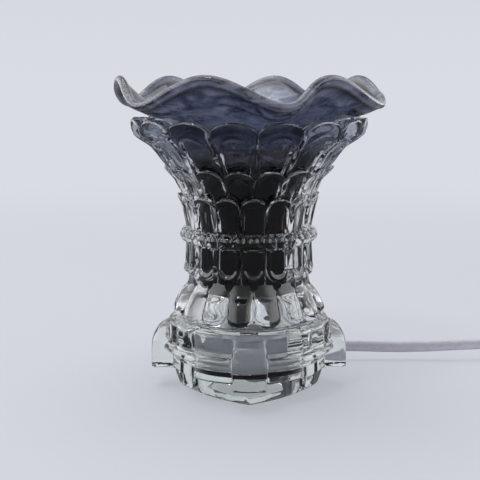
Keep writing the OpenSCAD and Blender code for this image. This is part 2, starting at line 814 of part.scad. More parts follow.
module bulb_stem() {
    color("white", 0.6)
        translate([0, 0, bulb_neck_z - stem_foot_h]) {
            cylinder(r = bulb_neck_r, h = stem_foot_h, $fn = 48);
            cylinder(r1 = bulb_neck_r - bulb_wall - run_gap, r2 = stem_r, h = bulb_neck_h, $fn = 48);
            cylinder(r = stem_r, h = stem_h, $fn = 48);
        }
}

module bulb_filament() {
    z0 = bulb_neck_z - stem_foot_h + stem_h;
    color("gray") {
        for (s = [-1, 1])
            translate([s * stem_r / 2, 0, z0])
                rotate([0, s * atan2((filament_span - stem_r) / 2, support_h), 0])
                    cylinder(r = support_r, h = support_h, $fn = 16);
        translate([-filament_span / 2, 0, z0 + support_h])
            rotate([0, 90, 0])
                cylinder(r = filament_r, h = filament_span, $fn = 16);
    }
}

// Cord

function relief_axis_point(r) = [r * cos(notch_angle), r * sin(notch_angle), cord_exit_z];

lamp_side_points = concat(
    [relief_axis_point(relief_tip_r), relief_axis_point(relief_tip_r + straight_l)],
    lamp_side_route,
    [[dimmer_near_x - straight_l, dimmer_y, dimmer_z], [dimmer_near_x, dimmer_y, dimmer_z]]);
to_coil_points = [for (p = to_coil_steps)
    [dimmer_far_x + min(p[0], coil_reach - coil_lead), dimmer_y, dimmer_z + (coil_low_z - dimmer_z) * p[1]]];
to_plug_points = [for (p = to_plug_steps)
    [coil_x - max(p[0], coil_lead), plug_y, coil_low_z + coil_rise + (plug_z - coil_low_z - coil_rise) * p[1]]];

module cord_lamp_side() {
    color("lavender") cord_tube(lamp_side_points, cord_sides);
}

module cord_to_coil() {
    color("lavender") cord_tube(to_coil_points, cord_sides);
}

module cord_to_plug() {
    color("lavender") cord_tube(to_plug_points, cord_sides);
}

// Centre line of the coil: in on the floor layer, up in a half turn, and out on the upper layer
coil_total = 2 * coil_turns + 0.5;
// The climbing half turn bends inwards, clear of the turns beside it on both layers
function climb_dip(t) =
    let (v = (t - coil_turns + dip_start) / dip_turns)
    v <= 0 || v >= 1 ? 0 : coil_dip * (1 - cos(360 * v)) / 2;
function coil_radius(t) =
    coil_r - coil_step * min(t, coil_turns, coil_total - t) - climb_dip(t);
function coil_height(t) =
    coil_low_z + coil_rise * (t <= coil_turns ? 0 : t >= coil_turns + 0.5 ? 1 :
        (1 - cos(360 * (t - coil_turns))) / 2);
coil_path = concat(
    [[coil_x - coil_lead, coil_y + coil_r, coil_low_z]],
    [for (i = [0:coil_total * coil_rings])
        let (t = i / coil_rings, r = coil_radius(t), a = coil_start_angle - 360 * t)
        [coil_x + r * cos(a), coil_y + r * sin(a), coil_height(t)]],
    [[coil_x - coil_lead, coil_y - coil_r, coil_low_z + coil_rise]]);

// Least gap between turns, measured between centre lines less the cord's own section
function turn_gap(i, j) =
    let (d = coil_path[i] - coil_path[j], f = norm([d[0], d[1]]), h = abs(d[2]))
    max(f - cord_t, h - cord_w);
coil_gaps = [for (i = [0:4:last(coil_path)], j = [i + 12:last(coil_path)])
    turn_gap(i, j)];

module cord_coil() {
    echo(least_coil_gap = min(coil_gaps));
    color("lavender") cord_tube(coil_path, coil_sides);
}

// In-line dimmer, set along X at its own centre

module at_dimmer() {
    translate([dimmer_x, dimmer_y, 0]) children();
}

module dimmer_block(l, w, h, r) {
    linear_extrude(h)
        union() {
            square([l - 2 * r, w], center = true);
            square([l, w - 2 * r], center = true);
            for (x = [-1, 1], y = [-1, 1])
                translate([x * (l / 2 - r), y * (w / 2 - r)])
                    circle(r = r, $fn = 48);
        }
}

module dimmer_outside() {
    dimmer_block(dimmer_l, dimmer_w, dimmer_h - dimmer_edge, dimmer_corner_r);
    dimmer_block(dimmer_l - 2 * dimmer_edge, dimmer_w - 2 * dimmer_edge, dimmer_h,
        dimmer_corner_r - dimmer_edge);
}

module dimmer_inside() {
    translate([0, 0, dimmer_wall])
        dimmer_block(dimmer_l - 2 * dimmer_wall, dimmer_w - 2 * dimmer_wall, dimmer_h - 2 * dimmer_wall,
            dimmer_corner_r - dimmer_wall);
}

wheel_y = -(dimmer_w / 2 + wheel_out - wheel_r);

module dimmer_openings() {
    translate([0, wheel_y, dimmer_z - wheel_t / 2 - wheel_gap])
        cylinder(r = wheel_r + wheel_gap, h = wheel_t + 2 * wheel_gap);
    for (s = [-1, 1])
        translate([s * (dimmer_l / 2 - 2 * dimmer_wall), 0, dimmer_z])
            rotate([0, s * 90, 0])
                cylinder(d = dimmer_relief_w + run_gap, h = 2 * dimmer_wall + overrun, $fn = 48);
}

module dimmer_bosses(hole_r) {
    for (s = [-1, 1])
        translate([s * dimmer_screw_x, 0, 0])
            difference() {
                cylinder(r = boss_r, h = dimmer_h - dimmer_wall / 2, $fn = 48);
                translate([0, 0, -overrun])
                    cylinder(r = hole_r, h = dimmer_h - dimmer_wall + overrun, $fn = 24);
            }
}

module dimmer_shell() {
    difference() {
        union() {
            difference() {
                dimmer_outside();
                dimmer_inside();
            }
            dimmer_bosses(0);
        }
        dimmer_openings();
        for (s = [-1, 1])
            translate([s * dimmer_screw_x, 0, -overrun]) {
                cylinder(r = screw_r + run_gap, h = dimmer_h - 2 * dimmer_wall + overrun, $fn = 24);
                cylinder(r = screw_head_r + run_gap, h = screw_head_h + run_gap + overrun, $fn = 24);
            }
    }
}

module dimmer_base() {
    color("white")
        at_dimmer() {
            intersection() {
                dimmer_shell();
                translate([-dimmer_l, -dimmer_w, -overrun])
                    cube([2 * dimmer_l, 2 * dimmer_w, dimmer_z + overrun]);
            }
            translate([0, wheel_y, dimmer_wall])
                cylinder(r = pin_r, h = dimmer_h - 2 * dimmer_wall - run_gap, $fn = 48);
            translate([0, wheel_y, dimmer_wall])
                cylinder(r = boss_r, h = dimmer_z - wheel_t / 2 - run_gap - dimmer_wall, $fn = 48);
        }
}

module dimmer_cover() {
    color("white")
        at_dimmer()
            intersection() {
                dimmer_shell();
                translate([-dimmer_l, -dimmer_w, dimmer_z + run_gap / 2])
                    cube([2 * dimmer_l, 2 * dimmer_w, dimmer_h]);
            }
}

module dimmer_wheel() {
    color("gainsboro")
        at_dimmer()
            translate([0, wheel_y, dimmer_z - wheel_t / 2])
                difference() {
                    cylinder(r = wheel_r, h = wheel_t);
                    translate([0, 0, -overrun])
                        cylinder(r = wheel_bore_r, h = wheel_t + 2 * overrun, $fn = 48);
                    for (i = [0:wheel_teeth - 1])
                        rotate([0, 0, i * 360 / wheel_teeth])
                            translate([wheel_r + wheel_tooth_r / 3, 0, -overrun])
                                cylinder(r = wheel_tooth_r, h = wheel_t + 2 * overrun, $fn = 16);
                }
}

module dimmer_board() {
    board_y = dimmer_w / 2 - dimmer_wall - seat_gap - board_t;
    color("darkgreen")
        at_dimmer() {
            translate([-board_l / 2, board_y, dimmer_wall + seat_gap])
                cube([board_l, board_t, board_w]);
            for (s = [-1, 1])
                translate([s * (board_l / 2 - part_r - bevel), board_y, dimmer_wall + seat_gap + board_w / 2])
                    rotate([90, 0, 0])
                        cylinder(r = part_r, h = part_h, $fn = 32);
        }
}

module dimmer_screws() {
    color("silver")
        at_dimmer()
            for (s = [-1, 1])
                translate([s * dimmer_screw_x, 0, 0]) {
                    translate([0, 0, run_gap])
                        cylinder(r = screw_head_r, h = screw_head_h, $fn = 32);
                    translate([0, 0, screw_head_h])
                        cylinder(r = screw_r, h = dimmer_h - 3 * dimmer_wall - screw_head_h, $fn = 32);
                }
}

module dimmer_reliefs() {
    neck = 2 * dimmer_wall;
    color("white")
        at_dimmer()
            for (s = [-1, 1])
                translate([s * (dimmer_l / 2 - neck), 0, dimmer_z])
                    rotate([0, s * 90, 0]) {
                        cylinder(d = dimmer_relief_w, h = neck, $fn = 48);
                        translate([0, 0, neck])
                            cylinder(d1 = dimmer_relief_w, d2 = relief_tip_w, h = dimmer_relief_l, $fn = 48);
                    }
}

// Plug, lying on its flat side with its blades towards -X

module plug_body() {
    core_w = plug_w - 2 * plug_edge;
    color("white")
        translate([plug_x, plug_y, plug_z])
            difference() {
                union() {
                    translate([0, 0, -plug_t / 2])
                        linear_extrude(plug_t)
                            union() {
                                square([plug_l, core_w], center = true);
                                square([plug_l - 2 * plug_edge, plug_w], center = true);
                                for (x = [-1, 1], y = [-1, 1])
                                    translate([x * (plug_l / 2 - plug_edge), y * core_w / 2])
                                        circle(r = plug_edge, $fn = 32);
                            }
                    translate([plug_l / 2 - bevel, 0, 0])
                        rotate([0, 90, 0])
                            cylinder(d1 = plug_t * 0.8, d2 = relief_w, h = plug_relief_l, $fn = 48);
                }
                for (i = [0:grip_count - 1], s = [-1, 1])
                    translate([(i - grip_count / 2) * grip_step, s * plug_w / 2, -plug_t])
                        cylinder(r = grip_r, h = 2 * plug_t, $fn = 24);
                for (s = [-1, 1])
                    translate([-plug_l / 2 - overrun, s * blade_pitch / 2 - blade_t / 2, -blade_w / 2])
                        cube([blade_l / 2 + overrun, blade_t, blade_w]);
            }
}

module plug_blades() {
    color("goldenrod")
        translate([plug_x - plug_l / 2, plug_y, plug_z])
            for (s = [-1, 1])
                translate([0, s * blade_pitch / 2, 0])
                    difference() {
                        translate([-blade_l, -blade_t / 2, -blade_w / 2])
                            cube([blade_l * 1.5, blade_t, blade_w]);
                        translate([blade_hole_x - blade_l, blade_t, 0])
                            rotate([90, 0, 0])
                                cylinder(r = blade_hole_r, h = 2 * blade_t, $fn = 24);
                    }
}

glass_base();
foot_pads();
cover_plate();
holder_cup();
threaded_rod();
rod_nuts();
socket_body();
socket_shell();
socket_contact();
terminal_screws();
inner_leads();
cord_relief();
pressed_vase();
ruffled_sleeve();
oil_dish();
bulb_envelope();
bulb_cap();
bulb_tip();
bulb_stem();
bulb_filament();
cord_lamp_side();
dimmer_base();
dimmer_cover();
dimmer_wheel();
dimmer_board();
dimmer_screws();
dimmer_reliefs();
cord_to_coil();
cord_coil();
cord_to_plug();
plug_body();
plug_blades();
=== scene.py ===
import math

import bmesh
import bpy
import numpy as np
from mathutils import Matrix, Vector


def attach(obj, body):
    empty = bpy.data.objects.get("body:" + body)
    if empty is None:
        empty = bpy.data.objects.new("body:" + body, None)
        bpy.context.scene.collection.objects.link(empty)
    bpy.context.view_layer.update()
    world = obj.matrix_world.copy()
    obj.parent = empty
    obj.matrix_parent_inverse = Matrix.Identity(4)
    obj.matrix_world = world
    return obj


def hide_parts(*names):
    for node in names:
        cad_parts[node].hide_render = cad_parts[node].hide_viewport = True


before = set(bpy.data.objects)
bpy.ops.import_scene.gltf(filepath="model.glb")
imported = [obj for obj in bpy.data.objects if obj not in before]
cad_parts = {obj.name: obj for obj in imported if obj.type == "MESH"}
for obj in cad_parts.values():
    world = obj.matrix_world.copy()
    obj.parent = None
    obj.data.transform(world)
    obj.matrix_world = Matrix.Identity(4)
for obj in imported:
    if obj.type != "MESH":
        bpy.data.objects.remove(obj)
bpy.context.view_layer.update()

scene = bpy.context.scene
scene.view_settings.view_transform = "Standard"

# Glass base. One block of clear soda-lime glass, pressed in a four-part mould and fire polished: a foot with
# four bowed sides, a flange with four brackets, a scalloped upper tier and a locating ring. It is hollow from
# below for the lamp holder, and a notch at the rear lets the cord out.


def linear(hex_colour):
    """An sRGB hex colour as linear RGBA."""
    parts = [int(hex_colour[i:i + 2], 16) / 255 for i in (1, 3, 5)]
    return [c / 12.92 if c <= 0.04045 else ((c + 0.055) / 1.055) ** 2.4 for c in parts] + [1.0]


def add(tree, kind, settings=None, stops=(), **links):
    """Adds one node: its settings, its ramp's or curve's stops, and links or plain values by socket."""
    node = tree.nodes.new(kind)
    for name, value in (settings or {}).items():
        setattr(node, name, value)
    if stops and hasattr(node, "color_ramp"):
        while len(node.color_ramp.elements) < len(stops):
            node.color_ramp.elements.new(0.5)
        for element, (place, colour) in zip(node.color_ramp.elements, stops):
            element.position, element.color = place, linear(colour)
    elif stops:
        curve = node.mapping.curves[0]
        for place, height in stops[1:-1]:
            curve.points.new(place, height)
        for point, stop in zip(curve.points, stops):
            point.location = stop
        node.mapping.update()
    for name, value in links.items():
        socket = node.inputs[int(name[1:]) if name[0] == "_" else name.replace("_", " ")]
        if isinstance(value, bpy.types.NodeSocket):
            tree.links.new(value, socket)
        else:
            socket.default_value = value
    return node


def new_material(name):
    """An empty node material, its Principled shader and the object's own coordinates."""
    made = bpy.data.materials.new(name)
    made.use_nodes = True
    tree = made.node_tree
    tree.nodes.clear()
    shader = add(tree, "ShaderNodeBsdfPrincipled")
    add(tree, "ShaderNodeOutputMaterial", Surface=shader.outputs[0])
    return made, tree, shader, add(tree, "ShaderNodeTexCoord").outputs["Object"]


def clear_glass(name, thin, thick, wave_mm, wave_depth_mm, wave_strength=0.4, cloud_mm=22):
    """Pressed or blown clear glass: bright and nearly colourless, its slow waves bend what shows through."""
    made, tree, shader, place = new_material(name)
    shader.inputs["Transmission Weight"].default_value = 1.0
    shader.inputs["IOR"].default_value = 1.51
    shader.inputs["Roughness"].default_value = 0.0
    cloud = add(tree, "ShaderNodeTexNoise", Vector=place, Scale=1000 / cloud_mm, Detail=1.0)
    tone = add(tree, "ShaderNodeValToRGB", None, ((0.3, thick), (0.7, thin)), Fac=cloud.outputs["Fac"])
    wave = add(tree, "ShaderNodeTexNoise", Vector=place, Scale=1000 / wave_mm, Detail=1.0)
    bent = add(tree, "ShaderNodeBump", Height=wave.outputs["Fac"], Strength=wave_strength,
               Distance=wave_depth_mm / 1000)
    tree.links.new(tone.outputs[0], shader.inputs["Base Color"])
    tree.links.new(bent.outputs[0], shader.inputs["Normal"])
    return made


def closed_piece(name, points, faces, weld=2e-6):
    """A closed skin from points in metres: doubles welded, faces turned outwards, shaded smooth."""
    mesh = bpy.data.meshes.new(name)
    mesh.from_pydata(points, [], faces)
    piece = bpy.data.objects.new(name, mesh)
    scene.collection.objects.link(piece)
    work = bmesh.new()
    work.from_mesh(mesh)
    bmesh.ops.remove_doubles(work, verts=work.verts, dist=weld)
    bmesh.ops.recalc_face_normals(work, faces=work.faces)
    work.to_mesh(mesh)
    work.free()
    mesh.polygons.foreach_set("use_smooth", [True] * len(mesh.polygons))
    return piece


def ring_wall(name, rings):
    """A closed wall: quads between rings of points in millimetres, each ring joined to the next one."""
    count = len(rings[0])
    here = np.arange(count)
    after = (here + 1) % count
    faces = []
    for i in range(len(rings)):
        low, high = i * count, (i + 1) % len(rings) * count
        faces += np.stack([low + here, low + after, high + after, high + here], axis=1).tolist()
    return closed_piece(name, (np.concatenate(rings) / 1000).tolist(), faces)


def finish_piece(piece, material, body, slot, *replaced):
    """Gives a finished piece its material and body, and hides the CAD nodes that it stands for. The slot is
    not used.
    """
    piece.data.materials.clear()
    piece.data.materials.append(material)
    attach(piece, body)
    if replaced:
        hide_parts(*replaced)


def ease(x, start, end):
    """0 before start and 1 after end, with a soft step between."""
    way = np.clip((x - start) / (end - start), 0, 1)
    return way * way * (3 - 2 * way)


base_columns = 512
base_turn = np.arange(base_columns) * 2 * np.pi / base_columns
# Each side of the foot is an arc of about side_bow's radius, drawn about a point beyond the axis
side_middle, side_bow, corner_soft = 27.4, 70, 0.35


def foot_radius(bow):
    """Plan of the foot: four bowed sides that meet in blunt corners under the brackets."""
    back = side_middle - side_bow
    sides = []
    for side in np.radians((45, 135, 225, 315)):
        across = back * np.sin(base_turn - side)
        sides.append(back * np.cos(base_turn - side) + np.sqrt(bow ** 2 - across ** 2))
    return -corner_soft * np.log(np.sum(np.exp(-np.array(sides) / corner_soft), axis=0))


# The four brackets: distance across one from its middle line, and the share of it in the outline
bracket_reach, bracket_half, bracket_blend = 44, 6.6, 3.0
across_bracket = np.abs(bracket_reach * np.sin(2 * base_turn) / 2)
on_bracket = 1 - ease(across_bracket, bracket_half, bracket_half + bracket_blend)
# The upper tier's sixteen scallops
tier_radius, scallops, scallop_phase, scallop_depth, scallop_sharpness = 36.3, 16, -7.5, 0.9, 1.4
scallop = np.abs(np.cos(scallops / 2 * (base_turn - np.radians(scallop_phase))))
tier = tier_radius - scallop_depth * (1 - scallop) ** scallop_sharpness

# Outline from the foot up, as radius and height: the block's between the brackets, and a bracket's at the
# same rings. The hollow's outline follows, from the locating ring down to the foot.
foot = [(foot_radius(68.6) - 0.9, 0.5), (foot_radius(68.8) - 0.25, 0.8), (foot_radius(69), 1.6),
        (foot_radius(70.2), 5.5), (foot_radius(71.2), 9.2)]
tier_top = [(tier - 0.2, 31.7), (tier - 0.9, 32.4), (34.4, 32.5)]
block = [(foot_radius(71.3), 9.9), (34.2, 10.6), (34.8, 11.5), (34.8, 14.5), (34.9, 17.2), (36.9, 18.7),
         (38.2, 19.5), (38.4, 20.2), (38.4, 21.2), (38.0, 21.9), (37.3, 22.3), (tier + 0.7, 22.5),
         (tier + 0.1, 23.2), (tier, 25), (tier, 28), (tier, 30.6)]
bracket = [(37.5, 9.7), (42.9, 9.8), (44.0, 10.3), (44.2, 11.3), (44.2, 14), (44.2, 17), (44.1, 19.5),
           (43.9, 21.5), (43.4, 23.4), (42.6, 25.3), (41.5, 27), (40.2, 28.4), (38.8, 29.3), (37.6, 29.8),
           (36.9, 30.1), (36.4, 30.7)]
hollow = [(28.5, 32.5), (28.2, 32.8), (28.2, 34.9), (27.9, 35.3), (25.9, 35.3), (25.6, 34.9), (25.6, 32.8),
          (25.2, 32.5), (14.5, 32.5), (14, 32), (14, 29.1), (14.5, 28.6), (22.6, 28.6), (23.2, 28.1),
          (23.2, 20), (23.2, 13.8), (23.4, 13.6), (24.1, 13.6), (24.2, 13.4), (24.2, 9), (24.2, 5),
          (24.2, 1.2), (24.7, 0.5)]

# The cord's notch has a round roof over straight sides
notch_turn, notch_half, notch_spring = np.pi / 4, 4.2, 6.0
base_rings = []
for plain, raised in zip(foot + block + tier_top + hollow, foot + bracket + tier_top + hollow):
    radius = (1 - on_bracket) * plain[0] + on_bracket * raised[0]
    height = (1 - on_bracket) * plain[1] + on_bracket * raised[1]
    off_notch = np.abs(radius * np.sin(base_turn - notch_turn))
    in_notch = (off_notch < notch_half) & (np.cos(base_turn - notch_turn) > 0)
    roof = notch_spring + np.sqrt(np.clip(notch_half ** 2 - off_notch ** 2, 0, None))
    height = np.where(in_notch & (height < roof), roof, height)
    base_rings.append(np.stack([radius * np.cos(base_turn), radius * np.sin(base_turn), height], axis=1))
# Thick pressed glass: a breath of green where it is deep, and mould waves that break up what shows through
base_material = clear_glass("pressed soda-lime glass, base", "#fbfdfb", "#eff5f1", wave_mm=8,
                            wave_depth_mm=0.09, wave_strength=0.8)
base_piece = ring_wall("base_glass", base_rings)
base_piece.data.set_sharp_from_angle(angle=math.radians(48))
finish_piece(base_piece, base_material, "base", "clear_glass", "glass_base")

# Foot pads. Four small clear silicone discs, self-adhesive, stuck under the corners of the foot, so that the
# glass neither slides nor scratches what it stands on.

# Silicone is clear but hazy, with a half-matt skin
pad_material, tree, shader, place = new_material("clear silicone rubber")
shader.inputs["Base Color"].default_value = linear("#eef2f0")
shader.inputs["Transmission Weight"].default_value = 0.8
shader.inputs["IOR"].default_value = 1.41
haze_mm = 0.6
haze = add(tree, "ShaderNodeTexNoise", Vector=place, Scale=1000 / haze_mm, Detail=2.0)
dull = add(tree, "ShaderNodeMapRange", Value=haze.outputs["Fac"], To_Min=0.25, To_Max=0.45)
tree.links.new(dull.outputs[0], shader.inputs["Roughness"])


def dress(node, material):
    """Gives a carried-over CAD node its real finish."""
    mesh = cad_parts[node].data
    mesh.materials.clear()
    mesh.materials.append(material)


dress("foot_pads", pad_material)

# Lamp holder. A stepped cup of thin steel in grey lacquer stands on a black moulded plate that closes the
# hollow; a threaded brass tube and two nuts clamp them, and vents in the plate let the warm air through.


def moulded(name, dark, light, grain_mm, depth_mm, rough, coat=0.0):
    """Moulded plastic or lacquer: a close grain in colour, gloss and relief, drawn coarse enough to show."""
    made, tree, shader, place = new_material(name)
    grain = add(tree, "ShaderNodeTexNoise", Vector=place, Scale=1000 / grain_mm, Detail=3.0, Roughness=0.6)
    tone = add(tree, "ShaderNodeValToRGB", None, ((0.3, dark), (0.75, light)), Fac=grain.outputs["Fac"])
    gloss = add(tree, "ShaderNodeMapRange", Value=grain.outputs["Fac"], To_Min=rough * 0.85,
                To_Max=rough * 1.15)
    relief = add(tree, "ShaderNodeBump", Height=grain.outputs["Fac"], Strength=0.3, Distance=depth_mm / 1000)
    tree.links.new(tone.outputs[0], shader.inputs["Base Color"])
    tree.links.new(gloss.outputs[0], shader.inputs["Roughness"])
    tree.links.new(relief.outputs[0], shader.inputs["Normal"])
    shader.inputs["Coat Weight"].default_value = coat
    return made


def drawn_metal(name, dark, light, rough, line_mm=1.5):
    """Turned or drawn metal: fine lines round the piece, drawn coarse enough to show, vary its gloss."""
    made, tree, shader, place = new_material(name)
    spun = add(tree, "ShaderNodeMapping", Vector=place, Scale=(0.15, 0.15, 12))
    lines = add(tree, "ShaderNodeTexNoise", Vector=spun.outputs[0], Scale=1000 / line_mm, Detail=2.0)
    tone = add(tree, "ShaderNodeValToRGB", None, ((0.3, dark), (0.7, light)), Fac=lines.outputs["Fac"])
    gloss = add(tree, "ShaderNodeMapRange", Value=lines.outputs["Fac"], To_Min=rough * 0.7,
                To_Max=rough * 1.3)
    relief = add(tree, "ShaderNodeBump", Height=lines.outputs["Fac"], Strength=0.2, Distance=0.00004)
    tree.links.new(tone.outputs[0], shader.inputs["Base Color"])
    tree.links.new(gloss.outputs[0], shader.inputs["Roughness"])
    tree.links.new(relief.outputs[0], shader.inputs["Normal"])
    shader.inputs["Metallic"].default_value = 1.0
    return made


# Stoved lacquer: an even, half-matt light grey that reads through the glass
cup_material = moulded("grey stoved lacquer on steel", "#b4b4be", "#bfbfc9", grain_mm=0.8, depth_mm=0.01,
                       rough=0.45)
# Spark texture: a dead black skin that breaks every highlight
plate_material = moulded("black ABS, spark textured", "#0b0b0c", "#151517", grain_mm=0.5, depth_mm=0.03,
                         rough=0.5)
# Bare drawn brass is warm and bright; zinc plate is cooler and duller
brass_material = drawn_metal("drawn brass", "#b08a45", "#d3b26b", rough=0.22)
zinc_material = drawn_metal("zinc plated steel", "#9c9ea2", "#c3c5c9", rough=0.3)
dress("holder_cup", cup_material)
dress("cover_plate", plate_material)
dress("threaded_rod", brass_material)
dress("rod_nuts", zinc_material)

# Screw socket. A dark phenolic body screwed on the tube, with a thin brass shell, a centre contact and two
# terminal screws; the two insulated leads come up the tube to them.

# Phenolic comes out of its mould glossy and brown-black; the leads' PVC is pale and waxy
phenolic_material = moulded("phenolic resin, compression moulded", "#120f0f", "#231d1b", grain_mm=0.7,
                            depth_mm=0.01, rough=0.25)
lead_material = moulded("extruded PVC, leads", "#cac8d2", "#dddbe4", grain_mm=0.4, depth_mm=0.005, rough=0.45)
dress("socket_body", phenolic_material)
dress("socket_shell", brass_material)
dress("socket_contact", brass_material)
dress("terminal_screws", zinc_material)
dress("inner_leads", lead_material)

# Bulb. A thin clear glass envelope melted to a stem that carries the filament, cemented in a nickel plated
# screw cap with a black glass insulator at its tip.

# Lamp glass has no tint and barely a wave; nickel is a warm white metal; vitreous glass is black and shiny;
# drawn tungsten is dark grey with a soft shine
bulb_material = clear_glass("blown lamp glass", "#ffffff", "#fafafa", wave_mm=14, wave_depth_mm=0.01)
cap_material = drawn_metal("nickel plated brass", "#b9b6ad", "#d8d6cf", rough=0.2)
tip_material = moulded("black vitreous glass", "#0c0b0d", "#1b1a1d", grain_mm=0.6, depth_mm=0.005, rough=0.12)
tungsten_material = drawn_metal("tungsten wire", "#5d5c5b", "#83817e", rough=0.4)
dress("bulb_envelope", bulb_material)
dress("bulb_stem", bulb_material)
dress("bulb_cap", cap_material)
dress("bulb_tip", tip_material)
dress("bulb_filament", tungsten_material)

# Pressed vase. Clear glass pressed into a mould with rows of scale-like petals, a ring of beads at the waist
# and fat drops at the foot. It stands round the ring on the base's top.

vase_bottom, vase_height = 32.5, 89.4
neck_radius, flare_reach, foot_reach = 26.4, 25.2, 5.0
petals, petal_columns = 16, 30
# Turn in degrees of a petal's middle in the two upper rows and of a drop's at the foot. In the two rows by
# the beads the petals stand half a petal further on.
petal_phase = -7.5
flute_phase = petal_phase + 180.0 / petals
vase_angles = np.arange(petals * petal_columns) * 360.0 / (petals * petal_columns) + petal_phase
# Shares of the height, each with the share of the flare's reach, of the foot's reach or of the wall's gain
flare = np.array([[0, 0], [0.2, 0], [0.235, 0.012], [0.375, 0.02], [0.475, 0.03], [0.58, 0.07], [0.63, 0.11],
                  [0.7, 0.19], [0.745, 0.3], [0.785, 0.42], [0.825, 0.5], [0.865, 0.61], [0.9, 0.79],
                  [0.925, 0.88], [0.96, 0.92], [1, 0.94]])
foot_spread = np.array([[0, 1], [0.04, 0.9], [0.09, 0.45], [0.13, 0.18], [0.155, 0.06], [0.18, 0], [1, 0]])
thickening = np.array([[0, -0.5], [0.1, 0], [0.6, 0], [0.75, 0.3], [0.9, 0.8], [1, 1]])


def along(x, table, steps=400, reach=10):
    """Value at x of a table, its corners softened over reach of its fine steps."""
    fine = np.linspace(table[0, 0], table[-1, 0], steps)
    straight = np.interp(fine, table[:, 0], table[:, 1])
    weights = np.hanning(2 * reach + 1)
    soft = np.convolve(np.pad(straight, reach, mode="edge"), weights / weights.sum(), "valid")
    return np.interp(x, fine, soft)


def vase_radius(z):
    """Radius of the wall's outside in the grooves, in millimetres, at height z."""
    share = (z - vase_bottom) / vase_height
    return neck_radius + flare_reach * along(share, flare) + foot_reach * along(share, foot_spread)


def from_middle(phase, count=petals):
    """0 on a petal's middle line, 1 in the groove beside it, for every column."""
    turns = (vase_angles - phase) / (360.0 / count)
    return np.abs(turns - np.round(turns)) * 2


def arch(off):
    """How far a round arch has fallen, as a share of its half width, off its middle by such a share."""
    return 1 - np.sqrt(np.clip(1 - off * off, 0, 1))


def vase_ring(radius, z):
    """One ring of the vase's points, at a radius and a height for each column."""
    turn = np.radians(vase_angles)
    return np.stack([radius * np.cos(turn), radius * np.sin(turn), np.broadcast_to(z, radius.shape)], axis=1)


# A petal's details in millimetres: the rounding of its tip, the width of a groove's flank, the width over
# which its panel sinks, where the panel starts to swell again and has swollen, and the bead round the panel
tip_round, flank_width, sink_width = 0.9, 1.5, 0.7
swell_start, swell_end = 0.8, 5.0
bead_off, bead_width = 0.2, 0.5
# Shares: the rise of a panel's arch and the slope of its end, the petal's bulge between its grooves and the
# steepness of their flanks, the panel's swell in its dip, and the bead's height for the width of its band
panel_arch, end_slope, bulge, flank_power, swell, bead_height = 0.75, 0.8, 0.5, 1.7, 0.35, 0.06


def petal_row(low, high, phase, steps, relief, frame_width, band, dip, hanging=False):
    """Rings of one row of petals: a groove at each side, a raised frame, and a sunk panel with an arched end.

    The relief is a table of shares of the row's height and heights above the grooves. The band is the plain
    glass between the panel's arch and the petal's tip, and a hanging row has its tips below.
    """
    off = from_middle(phase)
    rings = []
    for step in np.linspace(0, 1, steps + 1):
        share = 1 - math.cos(math.pi * step / 2) if hanging else math.sin(math.pi * step / 2)
        z = low + (high - low) * share
        wall = vase_radius(z)
        half = math.pi * wall / petals
        to_groove = (1 - off) * half
        to_tip = z - low if hanging else high - z
        panel = half - frame_width
        arched = to_tip - band - panel_arch * panel * arch(np.clip(off * half / panel, 0, 1))
        depth = np.minimum(panel - off * half, arched * end_slope)
        fall = np.clip(tip_round - to_tip, 0, tip_round)
        edge = tip_round - np.sqrt(np.clip(tip_round ** 2 - fall ** 2, 0, 1))
        crown = np.interp(share, relief[0], relief[1])
        flank = 1 - np.clip(1 - to_groove / flank_width, 0, 1) ** flank_power
        radius = wall + crown * flank + bulge * crown * (1 - off * off)
        sunk = ease(depth, 0.0, sink_width) - swell * ease(depth, swell_start, swell_end)
        bead = bead_height * band * np.exp(-((depth + bead_off) / bead_width) ** 2)
        radius = radius - dip * sunk - edge + bead
        rings.append(vase_ring(radius, z))
    return rings


def line(share, drop, phase):
    """Height of an arched line round the vase, its petals' middles at a share of the height."""
    return vase_bottom + share * vase_height - drop * arch(from_middle(phase))


# A drop is round over drop_below under its fattest height, and thins out above it. Its width is a share of
# the room that it has.
drop_middle, drop_below, drop_width = 39.4, 5.4, 0.97
drop_heights = [39.4, 41, 43, 44.7, 46, 47.3, 49, 51, 53]
drop_fats = [4.2, 4.2, 4, 3.6, 2.4, 1.4, 0.9, 0.5, 0]


def drop_ring(z):
    """The drops at the foot: fat tongues side by side, round below and lost in the neck above."""
    off = from_middle(petal_phase)
    wall = vase_radius(np.full(len(off), z))
    fat = np.interp(z, drop_heights, drop_fats)
    below = max(0.0, (drop_middle - z) / drop_below)
    return vase_ring(wall + fat * np.sqrt(np.clip(1 - below ** 2 - drop_width * off ** 2, 0, 1)), z)


def bead_rings(share, half_height, steps, ball=3.2, band=0.5):
    """The beads at the waist, two to a petal, on a slight band."""
    off = from_middle(petal_phase, petals * 2)
    rings = []
    for step in np.linspace(-1, 1, steps + 1):
        z = vase_bottom + share * vase_height + step * half_height
        wall = vase_radius(np.full(len(off), z))
        bead = ball * np.sqrt(np.clip(1 - step * step - 0.9 * off * off, 0, 1))
        rings.append(vase_ring(wall + bead + band * math.sqrt(max(0, 1 - step * step)), z))
    return rings


def plain_ring(radius, z):
    """A round ring of the vase's points."""
    return vase_ring(np.full(len(vase_angles), radius), z)


